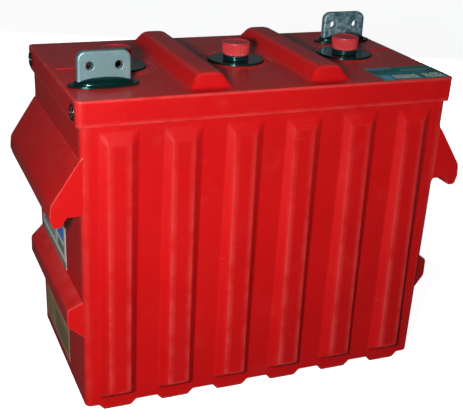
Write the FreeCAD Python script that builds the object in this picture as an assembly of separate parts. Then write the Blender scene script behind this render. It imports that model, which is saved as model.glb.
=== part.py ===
import FreeCAD, Part
import math
import os

# A three-cell flooded deep-cycle battery in a ribbed plastic case with a lift-off cover.
# Millimetres. +X along the length, -Y the long front side, +Z up.
# Origin: middle of the footprint, on the surface the feet stand on.

# Case
caseLength = 486.0        # outside length under the cover
caseWidth = 277.0         # outside width under the cover
caseRimZ = 413.0          # top of the case rim
caseWall = 5.0
caseCorner = 8.0          # radius of the four upright corners
endDraft = 4.0            # each end wall leans in this much from skirt to bottom
sideDraft = 10.5          # each long wall leans in this much from skirt to bottom
footHeight = 8.0
floorThickness = 6.0
wallEmbed = 2.0           # how far a moulded-on feature runs into its wall

# Ribs on the long sides, and the feet below them
ribCount = 6
ribPitch = 78.7
ribBaseWidth = 48.0
ribFaceWidth = 27.0
ribFaceInset = 0.5        # rib face behind the cover's side
ribTopDrop = 8.0          # rib foot line below the skirt
ribTopBevel = 15.0
ribBottomZ = 20.0
ribBottomBevel = 10.0
footTopWidth = 50.0
footSoleWidth = 36.0
footEndInset = 0.3
footEndBevel = 1.5

# End grips and end ledges
gripReach = 36.5          # beyond the case end
gripTopDrop = 39.0        # grip top below the skirt
gripShoulderDrop = 93.0
gripRootDrop = 110.0      # roof of the finger gap
gripLipDrop = 122.0       # lowest edge of the lip
gripLipInner = 16.0       # face of the lip that looks at the wall, beyond the case end
gripLipWidth = 10.0
gripRound = 3.0
ledgeTopZ = 161.0
ledgeFaceTopZ = 148.0
ledgeFaceBottomZ = 124.0
ledgeBottomZ = 112.0
ledgeReach = 15.5         # beyond the case end
ledgeEndInset = 4.0
ledgeEndBevel = 7.0

# Cover
skirtHeight = 32.0
coverPlate = 6.0
skirtOverhangX = 5.0
skirtOverhangY = 4.5
skirtClearance = 0.4
coverCorner = 8.0
coverEdgeRound = 2.0
gasketThickness = 3.0
ridgeBaseWidth = 54.0
ridgeTopWidth = 31.0
ridgeHeight = 18.0
ridgeEndInset = 17.0      # ridge end behind the cover's side
ridgeEndSlope = 10.0
ridgeWall = 4.0
ventGrooveRadius = 47.0
ventGrooveWidth = 2.0
ventGrooveDepth = 1.0
markLength = 24.0
markWidth = 4.0
markHeight = 1.0
markEndInset = 9.0
markShift = (2.0, 15.0)     # how far the left and right marks stand to the back of the middle
plugHeadRadius = 10.0
plugShankRadius = 7.5
plugHeadThickness = 1.5
plugCornerInset = 18.0
plugDrop = 17.0

# Cells
jarGap = 7.0
jarClearance = 0.5
spacerClearance = 0.5
jarSideClearance = 1.0
jarWall = 3.0
jarCorner = 8.0
jarFloor = 4.0
jarRimDrop = 25.0         # jar rim below the case rim
railHeight = 12.0         # rails that carry the plates
railWidth = 8.0
plateClearance = 1.0
stackClearance = 2.5
positiveCount = 12
positiveThickness = 6.6
negativeThickness = 4.7
plateHeadroom = 85.0      # jar rim above the plates
separatorRise = 4.0
separatorGap = 0.15
lugWidth = 16.0
lugHeight = 15.0
strapWidth = 20.0
strapThickness = 18.0
pillarRadius = 13.0
guardThickness = 2.0
guardHoleRadius = 3.0
guardColumnPitch = 13.5
guardRowPitch = 18.0
guardClearance = 1.0

# Cell lids, vents and caps
lidThickness = 12.0
ventShift = 4.0           # outer vents beyond the middle of their cells
domeRadius = 36.75
domeWall = 4.0
domeProud = 3.0           # dome above the cover
domeRound = 1.5
domeGap = 1.0
neckRadius = 17.0
neckHeight = 4.5
neckBore = 14.0
capRadius = 18.5
capHeight = 16.5
capFlutes = 28
capFluteRadius = 1.1
capRecessRadius = 14.0
capRecessDepth = 1.5
capTubeRadius = 8.0
capTubeWall = 2.0
capTubeLength = 30.0
capTubeSocket = 3.0       # how far the tube is pressed into the cap
capSealThickness = 1.5

# Terminals
postRadius = 15.0
terminalY = 80.0
flagWidth = 64.5
flagThickness = 10.0
flagRise = 42.0           # flag top above the cover
flagCorner = 10.0
flagFootDrop = 16.0       # flag foot below the cover's top
flagEndGap = 1.75         # flag inside the end of its cell
flagHoleRadius = 5.0
flagHoleSpacing = 35.5
flagHoleDrop = 17.5
bootReach = 11.25         # flange beyond each end of the flag
bootWidth = 37.0
bootFlange = 2.5
bootDomeHeight = 8.0
bootDomeReach = 5.25
bootDomeWidth = 31.0
bootTopReach = 2.75
bootTopWidth = 22.0
bootHoleReach = 5.75
bootHoleWidth = 28.0
bootPlugDepth = 9.0
bootPlugClearance = 0.2
bootSlotClearance = 0.6
postHoleClearance = 0.5
sealWidth = 6.0
sealThickness = 3.0

# Links between the cells
armGap = 4.0              # arm above the lid
armThickness = 8.0
linkWidth = 60.0
linkEndClearance = 12.0   # link flag from the end of the ridge hollow
linkThickness = 6.0
linkRise = 18.0
linkBoltY = 17.0
linkBoltZ = 12.5
boltRadius = 4.0
boltHeadRadius = 7.0
boltHeadHeight = 5.0
nutHeight = 5.5
washerRadius = 7.5
washerThickness = 1.2
boltTail = 1.5

# Labels
labelThickness = 0.4
topLabelLength = 96.0
topLabelWidth = 59.0
topLabelInset = 4.0
endLabelFrontY = -38.0
endLabelBackInset = 18.0
endLabelMargin = 2.0
stickerBottomZ = 24.0
stickerTopGap = 18.0

# Places that follow from the sizes above
skirtBottomZ = caseRimZ + gasketThickness + coverPlate - skirtHeight
plateUnderZ = caseRimZ + gasketThickness
coverTopZ = plateUnderZ + coverPlate
coverLength = caseLength + 2 * skirtOverhangX
coverWidth = caseWidth + 2 * skirtOverhangY
floorTopZ = footHeight + floorThickness
innerLength = caseLength - 2 * endDraft - 2 * caseWall
innerWidth = caseWidth - 2 * sideDraft - 2 * caseWall
jarLength = (innerLength - 2 * jarClearance - 2 * jarGap) / 3
jarWidth = innerWidth - 2 * jarSideClearance
cellPitch = jarLength + jarGap
ventPitch = cellPitch + ventShift
lugOffset = (jarLength - flagWidth) / 2 - flagEndGap
bootLength = flagWidth + 2 * bootReach
bootDomeLength = flagWidth + 2 * bootDomeReach
bootTopLength = flagWidth + 2 * bootTopReach
bootHoleLength = flagWidth + 2 * bootHoleReach
terminalX = cellPitch + lugOffset
jarTopZ = caseRimZ - jarRimDrop
railTopZ = floorTopZ + jarFloor + railHeight
plateTopZ = jarTopZ - plateHeadroom
plateWidth = jarLength - 2 * jarWall - 2 * plateClearance
stackDepth = jarWidth - 2 * jarWall - 2 * stackClearance
negativeCount = positiveCount + 1
separatorCount = positiveCount + negativeCount - 1
platesDepth = positiveCount * positiveThickness + negativeCount * negativeThickness
separatorPitch = (stackDepth - platesDepth) / separatorCount
strapBottomZ = plateTopZ + lugHeight
strapTopZ = strapBottomZ + strapThickness
lidTopZ = jarTopZ + lidThickness
domeTopZ = coverTopZ + domeProud
neckTopZ = domeTopZ + neckHeight
capBottomZ = neckTopZ + capSealThickness
capTopZ = capBottomZ + capHeight
flagTopZ = coverTopZ + flagRise
ridgeHollowEnd = coverWidth / 2 - ridgeEndInset - ridgeEndSlope - ridgeWall
pillarY = ridgeHollowEnd - linkEndClearance - linkWidth / 2
armBottomZ = lidTopZ + armGap
armTopZ = armBottomZ + armThickness
cellX = [-cellPitch, 0.0, cellPitch]
ventX = [-ventPitch, 0.0, ventPitch]


def vec(x, y, z):
    return FreeCAD.Vector(x, y, z)


def box(x0, x1, y0, y1, z0, z1):
    return Part.makeBox(x1 - x0, y1 - y0, z1 - z0, vec(x0, y0, z0))


def cylinder(radius, x, y, z0, z1):
    return Part.makeCylinder(radius, z1 - z0, vec(x, y, z0))


def ring(outer, inner, x, y, z0, z1):
    return cylinder(outer, x, y, z0, z1).cut(cylinder(inner, x, y, z0, z1))


def crossBar(radius, x0, x1, y, z):
    return Part.makeCylinder(radius, x1 - x0, vec(x0, y, z), vec(1, 0, 0))


def fused(shapes):
    whole = shapes[0]
    if len(shapes) > 1:
        whole = whole.multiFuse(shapes[1:])
    return whole.removeSplitter()


def mirroredX(shape):
    return shape.mirror(vec(0, 0, 0), vec(1, 0, 0))


def mirroredY(shape):
    return shape.mirror(vec(0, 0, 0), vec(0, 1, 0))


def roundedRect(halfX, halfY, radius, z):
    # Straight sides joined by quarter arcs.
    kink = radius * math.sqrt(0.5)
    edges = []
    for turn in range(4):
        signX = (1, -1, -1, 1)[turn]
        signY = (1, 1, -1, -1)[turn]
        midX = signX * (halfX - radius)
        midY = signY * (halfY - radius)
        onX = vec(signX * halfX, midY, z)
        onY = vec(midX, signY * halfY, z)
        onArc = vec(midX + signX * kink, midY + signY * kink, z)
        start = onX if turn % 2 == 0 else onY
        end = onY if turn % 2 == 0 else onX
        edges.append(Part.Arc(start, onArc, end).toShape())
    for turn in range(4):
        start = edges[turn].Vertexes[-1].Point
        end = edges[(turn + 1) % 4].Vertexes[0].Point
        edges.append(Part.makeLine(start, end))
    return Part.Wire(Part.__sortEdges__(edges))


def rectWire(x0, x1, y0, y1, z):
    corners = [vec(x0, y0, z), vec(x1, y0, z), vec(x1, y1, z), vec(x0, y1, z)]
    return Part.makePolygon(corners + corners[:1])


def oval(length, width, x, y, z):
    curve = Part.Ellipse(vec(x, y, z), length / 2, width / 2)
    return Part.Wire([curve.toShape()])


def ovalBlock(length, width, x, y, z0, z1):
    return Part.Face(oval(length, width, x, y, z0)).extrude(vec(0, 0, z1 - z0))


def endProfile(points, halfY):
    # A closed outline in the X-Z plane, carried from -halfY to +halfY.
    corners = [vec(x, -halfY, z) for x, z in points]
    face = Part.Face(Part.makePolygon(corners + corners[:1]))
    return face.extrude(vec(0, 2 * halfY, 0))


def endWallX(z):
    # Outside of the end wall at a height under the skirt.
    share = (skirtBottomZ - z) / (skirtBottomZ - footHeight)
    return caseLength / 2 - endDraft * share


def sideWallY(z):
    # Outside of the long wall at a height under the skirt.
    share = (skirtBottomZ - z) / (skirtBottomZ - footHeight)
    return caseWidth / 2 - sideDraft * share


def caseBody(offset, bottomZ):
    # The leaning tub, then the upright rim inside the skirt. offset shrinks all four sides.
    topX = caseLength / 2 - offset
    topY = caseWidth / 2 - offset
    bottomX = topX - endDraft
    bottomY = topY - sideDraft
    corner = caseCorner - offset / 2
    lower = roundedRect(bottomX, bottomY, corner, bottomZ)
    upper = roundedRect(topX, topY, corner, skirtBottomZ)
    tub = Part.makeLoft([lower, upper], True, True)
    rim = Part.Face(upper).extrude(vec(0, 0, caseRimZ - skirtBottomZ))
    return tub.fuse(rim)


def sideRib(x):
    # A pad on the -Y wall with an upright face and four sloping sides.
    topZ = skirtBottomZ - ribTopDrop
    faceY = -(coverWidth / 2 - ribFaceInset)
    halfBase = ribBaseWidth / 2
    halfFace = ribFaceWidth / 2
    topY = -sideWallY(topZ) + wallEmbed
    bottomY = -sideWallY(ribBottomZ) + wallEmbed
    base = [vec(x - halfBase, bottomY, ribBottomZ), vec(x + halfBase, bottomY, ribBottomZ),
            vec(x + halfBase, topY, topZ), vec(x - halfBase, topY, topZ)]
    faceTop = topZ - ribTopBevel
    faceBottom = ribBottomZ + ribBottomBevel
    face = [vec(x - halfFace, faceY, faceBottom), vec(x + halfFace, faceY, faceBottom),
            vec(x + halfFace, faceY, faceTop), vec(x - halfFace, faceY, faceTop)]
    wires = [Part.makePolygon(base + base[:1]), Part.makePolygon(face + face[:1])]
    return Part.makeLoft(wires, True, True)


def foot(x):
    # A runner across the bottom with four sloping sides.
    halfDepth = caseWidth / 2 - sideDraft - footEndInset
    top = rectWire(x - footTopWidth / 2, x + footTopWidth / 2, -halfDepth, halfDepth, footHeight + 1)
    soleDepth = halfDepth - footEndBevel
    sole = rectWire(x - footSoleWidth / 2, x + footSoleWidth / 2, -soleDepth, soleDepth, 0)
    return Part.makeLoft([top, sole], True, True)


def betweenLongWalls(x0, x1):
    # The space between the outsides of the two leaning long walls.
    lowY = sideWallY(footHeight)
    highY = sideWallY(skirtBottomZ)
    corners = [vec(x0, -lowY, footHeight), vec(x0, lowY, footHeight),
               vec(x0, highY, skirtBottomZ), vec(x0, -highY, skirtBottomZ)]
    return Part.Face(Part.makePolygon(corners + corners[:1])).extrude(vec(x1 - x0, 0, 0))


def endGrip():
    # The hooked grip on the +X end: a sloping top, an upright face, and a lip that hangs down.
    topZ = skirtBottomZ - gripTopDrop
    rootZ = skirtBottomZ - gripRootDrop
    lipZ = skirtBottomZ - gripLipDrop
    inside = endWallX(rootZ) - wallEmbed
    tip = caseLength / 2 + gripReach
    lipIn = caseLength / 2 + gripLipInner
    points = [(inside, topZ), (endWallX(topZ), topZ),
              (tip - 1.5, skirtBottomZ - gripShoulderDrop), (tip, rootZ),
              (tip - 3.5, lipZ), (tip - 3.5 - gripLipWidth, lipZ),
              (lipIn, rootZ), (inside, rootZ)]
    grip = endProfile(points, caseWidth / 2)
    lipEdges = []
    for edge in grip.Edges:
        first = edge.Vertexes[0].Point
        last = edge.Vertexes[-1].Point
        if abs(first.z - lipZ) < 0.01 and abs(last.z - lipZ) < 0.01 and abs(first.x - last.x) < 0.01:
            lipEdges.append(edge)
    rounded = grip.makeFillet(gripRound, lipEdges)
    return rounded.common(betweenLongWalls(inside - 1, tip + 1))


def endLedge():
    # The low ledge on the +X end, bevelled at both ends.
    face = caseLength / 2 + ledgeReach
    inside = endWallX(ledgeBottomZ) - wallEmbed
    points = [(inside, ledgeTopZ), (endWallX(ledgeTopZ), ledgeTopZ), (face, ledgeFaceTopZ),
              (face, ledgeFaceBottomZ), (endWallX(ledgeBottomZ), ledgeBottomZ), (inside, ledgeBottomZ)]
    halfY = sideWallY(ledgeBottomZ) - ledgeEndInset
    bar = endProfile(points, halfY)
    shortY = halfY - ledgeEndBevel
    wallX = endWallX(ledgeTopZ)
    plan = [vec(inside - 1, -halfY, 0), vec(wallX, -halfY, 0), vec(face, -shortY, 0),
            vec(face, shortY, 0), vec(wallX, halfY, 0), vec(inside - 1, halfY, 0)]
    prism = Part.Face(Part.makePolygon(plan + plan[:1])).extrude(vec(0, 0, ledgeTopZ + 1))
    return bar.common(prism)


def outerCase():
    outside = caseBody(0.0, footHeight)
    grip = endGrip()
    ledge = endLedge()
    pieces = [outside, grip, mirroredX(grip), ledge, mirroredX(ledge)]
    for index in range(ribCount):
        x = (index - (ribCount - 1) / 2) * ribPitch
        rib = sideRib(x)
        pieces += [rib, mirroredY(rib), foot(x)]
    return fused(pieces).cut(caseBody(caseWall, floorTopZ))


def rimGasket():
    halfX = caseLength / 2
    halfY = caseWidth / 2
    outer = Part.Face(roundedRect(halfX, halfY, caseCorner, caseRimZ))
    inner = Part.Face(roundedRect(halfX - caseWall, halfY - caseWall, caseCorner - caseWall / 2, caseRimZ))
    return outer.cut(inner).extrude(vec(0, 0, gasketThickness))


def ridge(x, inset, bottomZ, topZ):
    # A long raised channel with four sloping sides. inset shrinks it for the hollow beneath.
    halfBase = ridgeBaseWidth / 2 - inset
    halfTop = ridgeTopWidth / 2 - inset
    baseY = coverWidth / 2 - ridgeEndInset - inset
    topY = baseY - ridgeEndSlope
    base = rectWire(x - halfBase, x + halfBase, -baseY, baseY, bottomZ)
    top = rectWire(x - halfTop, x + halfTop, -topY, topY, topZ)
    return Part.makeLoft([base, top], True, True)


def plugPlaces():
    places = []
    for side in (-1, 1):
        for end in (-1, 1):
            places.append((side, end * (coverWidth / 2 - plugCornerInset), coverTopZ - plugDrop))
    return places


def coverMoulding():
    # The whole moulding. cover and coverSkirt are level slices of it, and coverRidge is what stands above.
    halfX = coverLength / 2
    halfY = coverWidth / 2
    shell = Part.Face(roundedRect(halfX, halfY, coverCorner, skirtBottomZ)).extrude(vec(0, 0, skirtHeight))
    topEdges = [edge for edge in shell.Edges if edge.BoundBox.ZMin > coverTopZ - 0.01]
    shell = shell.makeFillet(coverEdgeRound, topEdges)
    pieces = [shell]
    for side in (-1, 1):
        pieces.append(ridge(side * cellPitch / 2, 0.0, coverTopZ - 0.5, coverTopZ + ridgeHeight))
        markX = side * (halfX - markEndInset - markLength / 2)
        pieces.append(box(markX - markLength / 2, markX + markLength / 2,
                          markShift[side > 0] - markWidth / 2, markShift[side > 0] + markWidth / 2,
                          coverTopZ - 0.5, coverTopZ + markHeight))
    body = fused(pieces)
    innerX = caseLength / 2 + skirtClearance
    innerY = caseWidth / 2 + skirtClearance
    cavity = Part.Face(roundedRect(innerX, innerY, caseCorner, skirtBottomZ - 1))
    cuts = [cavity.extrude(vec(0, 0, plateUnderZ - skirtBottomZ + 1))]
    for side in (-1, 1):
        cuts.append(ridge(side * cellPitch / 2, ridgeWall, plateUnderZ - 0.5, coverTopZ + ridgeHeight - ridgeWall))
        cuts.append(ovalBlock(bootHoleLength, bootHoleWidth, side * terminalX, side * terminalY,
                              plateUnderZ - 1, coverTopZ + 1))
    for x in ventX:
        cuts.append(cylinder(domeRadius + domeGap, x, 0, plateUnderZ - 1, coverTopZ + 1))
        groove = ring(ventGrooveRadius, ventGrooveRadius - ventGrooveWidth, x, 0,
                      coverTopZ - ventGrooveDepth, coverTopZ + 1)
        cuts.append(groove)
    for side, y, z in plugPlaces():
        start = side * halfX - (side > 0) * 20 - (side < 0) * 1
        cuts.append(crossBar(plugShankRadius, start, start + 21, y, z))
    return body.cut(Part.makeCompound(cuts[:1])).cut(Part.makeCompound(cuts[1:]))


def ridgeZone(side):
    # Everything above the cover's flat top that belongs to one ridge.
    x = side * cellPitch / 2
    halfBase = ridgeBaseWidth / 2 + 1
    return box(x - halfBase, x + halfBase, -coverWidth, coverWidth, coverTopZ, coverTopZ + 2 * ridgeHeight)


def cover(moulding):
    # The flat plate with the vent openings, the terminal openings and the raised marks.
    below = box(-coverLength, coverLength, -coverWidth, coverWidth, skirtBottomZ - 1, plateUnderZ)
    return moulding.cut(Part.makeCompound([below])).cut(Part.makeCompound([ridgeZone(-1), ridgeZone(1)]))


def coverSkirt(moulding):
    above = box(-coverLength, coverLength, -coverWidth, coverWidth, plateUnderZ, coverTopZ + 2 * ridgeHeight)
    return moulding.cut(above)


def coverRidge(side):
    x = side * cellPitch / 2
    outside = ridge(x, 0.0, coverTopZ - 0.5, coverTopZ + ridgeHeight)
    hollow = ridge(x, ridgeWall, plateUnderZ - 0.5, coverTopZ + ridgeHeight - ridgeWall)
    below = box(-coverLength, coverLength, -coverWidth, coverWidth, skirtBottomZ, coverTopZ)
    return outside.cut(hollow).cut(below)


def coverPlugs():
    # Round plugs in the skirt ends: a flat head outside and a shank that fills the hole.
    plugs = []
    inner = caseLength / 2 + skirtClearance
    outer = coverLength / 2
    for side, y, z in plugPlaces():
        shank = crossBar(plugShankRadius, inner, outer, y, z)
        head = crossBar(plugHeadRadius, outer, outer + plugHeadThickness, y, z)
        plug = fused([shank, head])
        plugs.append(plug if side > 0 else mirroredX(plug))
    return Part.makeCompound(plugs)


def cellSpacers():
    halfX = (jarGap - 2 * spacerClearance) / 2
    halfY = jarWidth / 2
    boards = []
    for side in (-1, 1):
        x = side * cellPitch / 2
        boards.append(box(x - halfX, x + halfX, -halfY, halfY, floorTopZ, jarTopZ - 20))
    return Part.makeCompound(boards)


def cellJar(x):
    halfX = jarLength / 2
    halfY = jarWidth / 2
    outside = box(x - halfX, x + halfX, -halfY, halfY, floorTopZ, jarTopZ)
    upright = [edge for edge in outside.Edges if edge.BoundBox.ZLength > jarCorner]
    outside = outside.makeFillet(jarCorner, upright)
    hollow = box(x - halfX + jarWall, x + halfX - jarWall, -halfY + jarWall, halfY - jarWall,
                 floorTopZ + jarFloor, jarTopZ + 1)
    rails = []
    for share in (-0.3, 0.3):
        middle = x + share * plateWidth
        rails.append(box(middle - railWidth / 2, middle + railWidth / 2, -halfY + jarWall, halfY - jarWall,
                         floorTopZ + jarFloor, railTopZ))
    return fused([outside.cut(hollow)] + rails)


def plateRow(x, lugX, thickness, firstY, count):
    # Upright plates one behind the other, each with its lug on the same side.
    pitch = positiveThickness + negativeThickness + 2 * separatorPitch
    plates = []
    for index in range(count):
        y = firstY + index * pitch
        grid = box(x - plateWidth / 2, x + plateWidth / 2, y, y + thickness, railTopZ, plateTopZ)
        lug = box(lugX - lugWidth / 2, lugX + lugWidth / 2, y, y + thickness, plateTopZ, strapBottomZ)
        plates.append(fused([grid, lug]))
    return Part.makeCompound(plates)


def positivePlates(x):
    first = -stackDepth / 2 + negativeThickness + separatorPitch
    return plateRow(x, x - lugOffset, positiveThickness, first, positiveCount)


def negativePlates(x):
    return plateRow(x, x + lugOffset, negativeThickness, -stackDepth / 2, negativeCount)


def separators(x):
    # Porous sheets that fill the gaps between plates and stand a little above them.
    sheets = []
    y = -stackDepth / 2 + negativeThickness
    for index in range(separatorCount):
        sheets.append(box(x - plateWidth / 2, x + plateWidth / 2, y + separatorGap,
                          y + separatorPitch - separatorGap, railTopZ, plateTopZ + separatorRise))
        behind = positiveThickness if index % 2 == 0 else negativeThickness
        y += separatorPitch + behind
    return Part.makeCompound(sheets)


def strapBar(x):
    return box(x - strapWidth / 2, x + strapWidth / 2, -stackDepth / 2, stackDepth / 2,
               strapBottomZ, strapTopZ)


def terminalStrap(side):
    return strapBar(side * terminalX)


def linkStrap(x, towards):
    # Bar over the lugs, two pillars through the lid, and an arm and upright flag on each pillar.
    edge = x + towards * lugOffset
    joint = x + towards * (cellPitch / 2)
    faceX = joint - towards * linkThickness
    bottomZ = armBottomZ
    pieces = [strapBar(edge)]
    for end in (-1, 1):
        y = end * pillarY
        low = min(edge, joint) if towards > 0 else joint
        high = joint if towards > 0 else edge
        pieces.append(cylinder(pillarRadius, edge, y, strapTopZ - 1, armTopZ))
        pieces.append(box(low, high, y - pillarRadius, y + pillarRadius, bottomZ, armTopZ))
        flag = box(min(faceX, joint), max(faceX, joint), y - linkWidth / 2, y + linkWidth / 2,
                   bottomZ, armTopZ + linkRise)
        for boltY in (-linkBoltY, linkBoltY):
            flag = flag.cut(crossBar(boltRadius, min(faceX, joint) - 1, max(faceX, joint) + 1,
                                     y + boltY, armTopZ + linkBoltZ - 3))
        pieces.append(flag)
    return fused(pieces)


def plateGuard(x):
    # Perforated sheet that lies on the straps under the lid.
    halfX = jarLength / 2 - jarWall - guardClearance
    halfY = jarWidth / 2 - jarWall - guardClearance
    sheet = box(x - halfX, x + halfX, -halfY, halfY, strapTopZ, strapTopZ + guardThickness)
    holes = []
    for side in (-1, 1):
        for end in (-1, 1):
            holes.append(cylinder(pillarRadius + guardClearance, x + side * lugOffset, end * pillarY,
                                  strapTopZ - 1, strapTopZ + guardThickness + 1))
    if x != 0:
        side = 1 if x > 0 else -1
        holes.append(cylinder(postRadius + guardClearance, side * terminalX, side * terminalY,
                              strapTopZ - 1, strapTopZ + guardThickness + 1))
    for column in (-1, 0, 1):
        for row in range(-5, 6):
            holes.append(cylinder(guardHoleRadius, x + column * guardColumnPitch, row * guardRowPitch,
                                  strapTopZ - 1, strapTopZ + guardThickness + 1))
    return sheet.cut(Part.makeCompound(holes))


def lidPosts(index):
    # Where castings pass through a lid: x, y and radius.
    x = cellX[index]
    places = []
    for side in (-1, 1):
        towardsEnd = side * x > 0
        if towardsEnd:
            places.append((side * terminalX, side * terminalY, postRadius))
        else:
            places.append((x + side * lugOffset, -pillarY, pillarRadius))
            places.append((x + side * lugOffset, pillarY, pillarRadius))
    return places


def cellLid(index):
    # Flat lid with an opening under its vent tower and holes for the castings.
    x = cellX[index]
    halfX = jarLength / 2
    halfY = jarWidth / 2
    plate = box(x - halfX, x + halfX, -halfY, halfY, jarTopZ, lidTopZ)
    cuts = [cylinder(domeRadius - domeWall, ventX[index], 0, jarTopZ - 1, lidTopZ + 1)]
    for postX, postY, radius in lidPosts(index):
        cuts.append(cylinder(radius + postHoleClearance, postX, postY, jarTopZ - 1, lidTopZ + 1))
    return plate.cut(Part.makeCompound(cuts))


def ventTower(x):
    # Round hollow tower that stands on the lid and shows through the cover's opening.
    dome = cylinder(domeRadius, x, 0, lidTopZ, domeTopZ)
    rimEdges = [edge for edge in dome.Edges if edge.BoundBox.ZMin > domeTopZ - 0.01]
    dome = dome.makeFillet(domeRound, rimEdges)
    hollow = cylinder(domeRadius - domeWall, x, 0, lidTopZ - 1, domeTopZ - domeWall)
    return dome.cut(hollow).cut(cylinder(neckRadius, x, 0, lidTopZ - 1, domeTopZ + 1))


def fillerNeck(x):
    # Short tube in the middle of the tower that the cap's splash tube hangs in.
    return ring(neckRadius, neckBore, x, 0, domeTopZ - domeWall, neckTopZ)


def postSeals():
    # Rubber collars on the lids around every casting that comes through.
    seals = []
    for index in range(3):
        for x, y, radius in lidPosts(index):
            seals.append(ring(radius + sealWidth, radius, x, y, lidTopZ, lidTopZ + sealThickness))
    return Part.makeCompound(seals)


def capSeal(x):
    return ring(neckRadius - 0.5, neckBore, x, 0, neckTopZ, capBottomZ)


def ventCap(x):
    # Fluted cap with a dished top and a socket below for its splash tube.
    head = cylinder(capRadius, x, 0, capBottomZ, capTopZ)
    topEdges = [edge for edge in head.Edges if edge.BoundBox.ZMin > capTopZ - 0.01]
    head = head.makeFillet(1.0, topEdges)
    cuts = [cylinder(capRecessRadius, x, 0, capTopZ - capRecessDepth, capTopZ + 1)]
    cuts.append(cylinder(capTubeRadius, x, 0, capBottomZ - 1, capBottomZ + capTubeSocket))
    cuts.append(cylinder(capTubeRadius - capTubeWall, x, 0, capBottomZ, capTopZ - 6))
    for index in range(capFlutes):
        angle = 2 * math.pi * index / capFlutes
        reach = capRadius + capFluteRadius * 0.4
        cuts.append(cylinder(capFluteRadius, x + reach * math.cos(angle), reach * math.sin(angle),
                             capBottomZ - 1, capTopZ - 2.5))
    return head.cut(fused(cuts))


def capTube(x):
    # Splash tube that is pressed into the cap and hangs in the filler neck.
    lowZ = capBottomZ - capTubeLength
    highZ = capBottomZ + capTubeSocket
    tube = cylinder(capTubeRadius, x, 0, lowZ, highZ)
    return tube.cut(cylinder(capTubeRadius - capTubeWall, x, 0, lowZ - 1, highZ + 1))


def terminalFlag(side):
    # Upright flag with two bolt holes, cast on the post that comes up from the strap.
    x = side * terminalX
    y = side * terminalY
    halfX = flagWidth / 2
    footZ = coverTopZ - flagFootDrop
    plate = box(x - halfX, x + halfX, y - flagThickness / 2, y + flagThickness / 2, footZ, flagTopZ)
    corners = []
    for edge in plate.Edges:
        bounds = edge.BoundBox
        if bounds.ZMin > flagTopZ - 0.01 and bounds.YLength > flagThickness / 2:
            corners.append(edge)
    plate = plate.makeFillet(flagCorner, corners)
    post = cylinder(postRadius, x, y, strapTopZ, footZ + 4)
    body = fused([plate, post])
    holes = []
    for end in (-1, 1):
        holes.append(Part.makeCylinder(flagHoleRadius, flagThickness + 2,
                                       vec(x + end * flagHoleSpacing / 2, y - flagThickness / 2 - 1,
                                           flagTopZ - flagHoleDrop), vec(0, 1, 0)))
    return body.cut(Part.makeCompound(holes))


def terminalBoot(side):
    # Oval grommet: a thin flange on the cover, a low dome, and a plug down through the cover.
    x = side * terminalX
    y = side * terminalY
    flange = ovalBlock(bootLength, bootWidth, x, y, coverTopZ, coverTopZ + bootFlange)
    domeZ = coverTopZ + bootFlange
    dome = Part.makeLoft([oval(bootDomeLength, bootDomeWidth, x, y, domeZ - 0.5),
                          oval(bootTopLength, bootTopWidth, x, y, domeZ + bootDomeHeight)], True, True)
    plug = ovalBlock(bootHoleLength - 2 * bootPlugClearance, bootHoleWidth - 2 * bootPlugClearance,
                     x, y, coverTopZ - bootPlugDepth, coverTopZ + 1)
    slotX = flagWidth / 2 + bootSlotClearance
    slotY = flagThickness / 2 + bootSlotClearance
    slot = box(x - slotX, x + slotX, y - slotY, y + slotY, coverTopZ - bootPlugDepth - 1, flagTopZ)
    return fused([flange, dome, plug]).cut(slot)


def linkBoltPlaces():
    places = []
    for side in (-1, 1):
        for end in (-1, 1):
            for boltY in (-linkBoltY, linkBoltY):
                places.append((side * cellPitch / 2, end * pillarY + boltY, armTopZ + linkBoltZ - 3))
    return places


def hexagon(across, x0, x1, y, z):
    corners = []
    for index in range(6):
        angle = math.pi * index / 3
        corners.append(vec(x0, y + across * math.cos(angle), z + across * math.sin(angle)))
    return Part.Face(Part.makePolygon(corners + corners[:1])).extrude(vec(x1 - x0, 0, 0))


def linkBolts():
    bolts = []
    for x, y, z in linkBoltPlaces():
        headX = x - linkThickness - washerThickness
        endX = x + linkThickness + washerThickness + nutHeight + boltTail
        bolts.append(fused([hexagon(boltHeadRadius, headX - boltHeadHeight, headX, y, z),
                            crossBar(boltRadius, headX, endX, y, z)]))
    return Part.makeCompound(bolts)


def linkWashers():
    washers = []
    for x, y, z in linkBoltPlaces():
        for start in (x - linkThickness - washerThickness, x + linkThickness):
            disc = crossBar(washerRadius, start, start + washerThickness, y, z)
            washers.append(disc.cut(crossBar(boltRadius, start - 1, start + washerThickness + 1, y, z)))
    return Part.makeCompound(washers)


def linkNuts():
    nuts = []
    for x, y, z in linkBoltPlaces():
        start = x + linkThickness + washerThickness
        block = hexagon(boltHeadRadius, start, start + nutHeight, y, z)
        nuts.append(block.cut(crossBar(boltRadius, start - 1, start + nutHeight + 1, y, z)))
    return Part.makeCompound(nuts)


def topLabel():
    x1 = coverLength / 2 - topLabelInset
    y0 = -coverWidth / 2 + topLabelInset
    return box(x1 - topLabelLength, x1, y0, y0 + topLabelWidth, coverTopZ, coverTopZ + labelThickness)


def wallPatch(y0, y1, z0, z1):
    # A thin patch that lies flat on the leaning -X end wall.
    points = [(-endWallX(z0), z0), (-endWallX(z0) - labelThickness, z0),
              (-endWallX(z1) - labelThickness, z1), (-endWallX(z1), z1)]
    corners = [vec(x, y0, z) for x, z in points]
    return Part.Face(Part.makePolygon(corners + corners[:1])).extrude(vec(0, y1 - y0, 0))


def endLabel():
    rootZ = skirtBottomZ - gripRootDrop
    z0 = ledgeTopZ + endLabelMargin
    z1 = z0 + (rootZ - ledgeTopZ) / 2
    return wallPatch(endLabelFrontY, caseWidth / 2 - sideDraft - endLabelBackInset, z0, z1)


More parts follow.
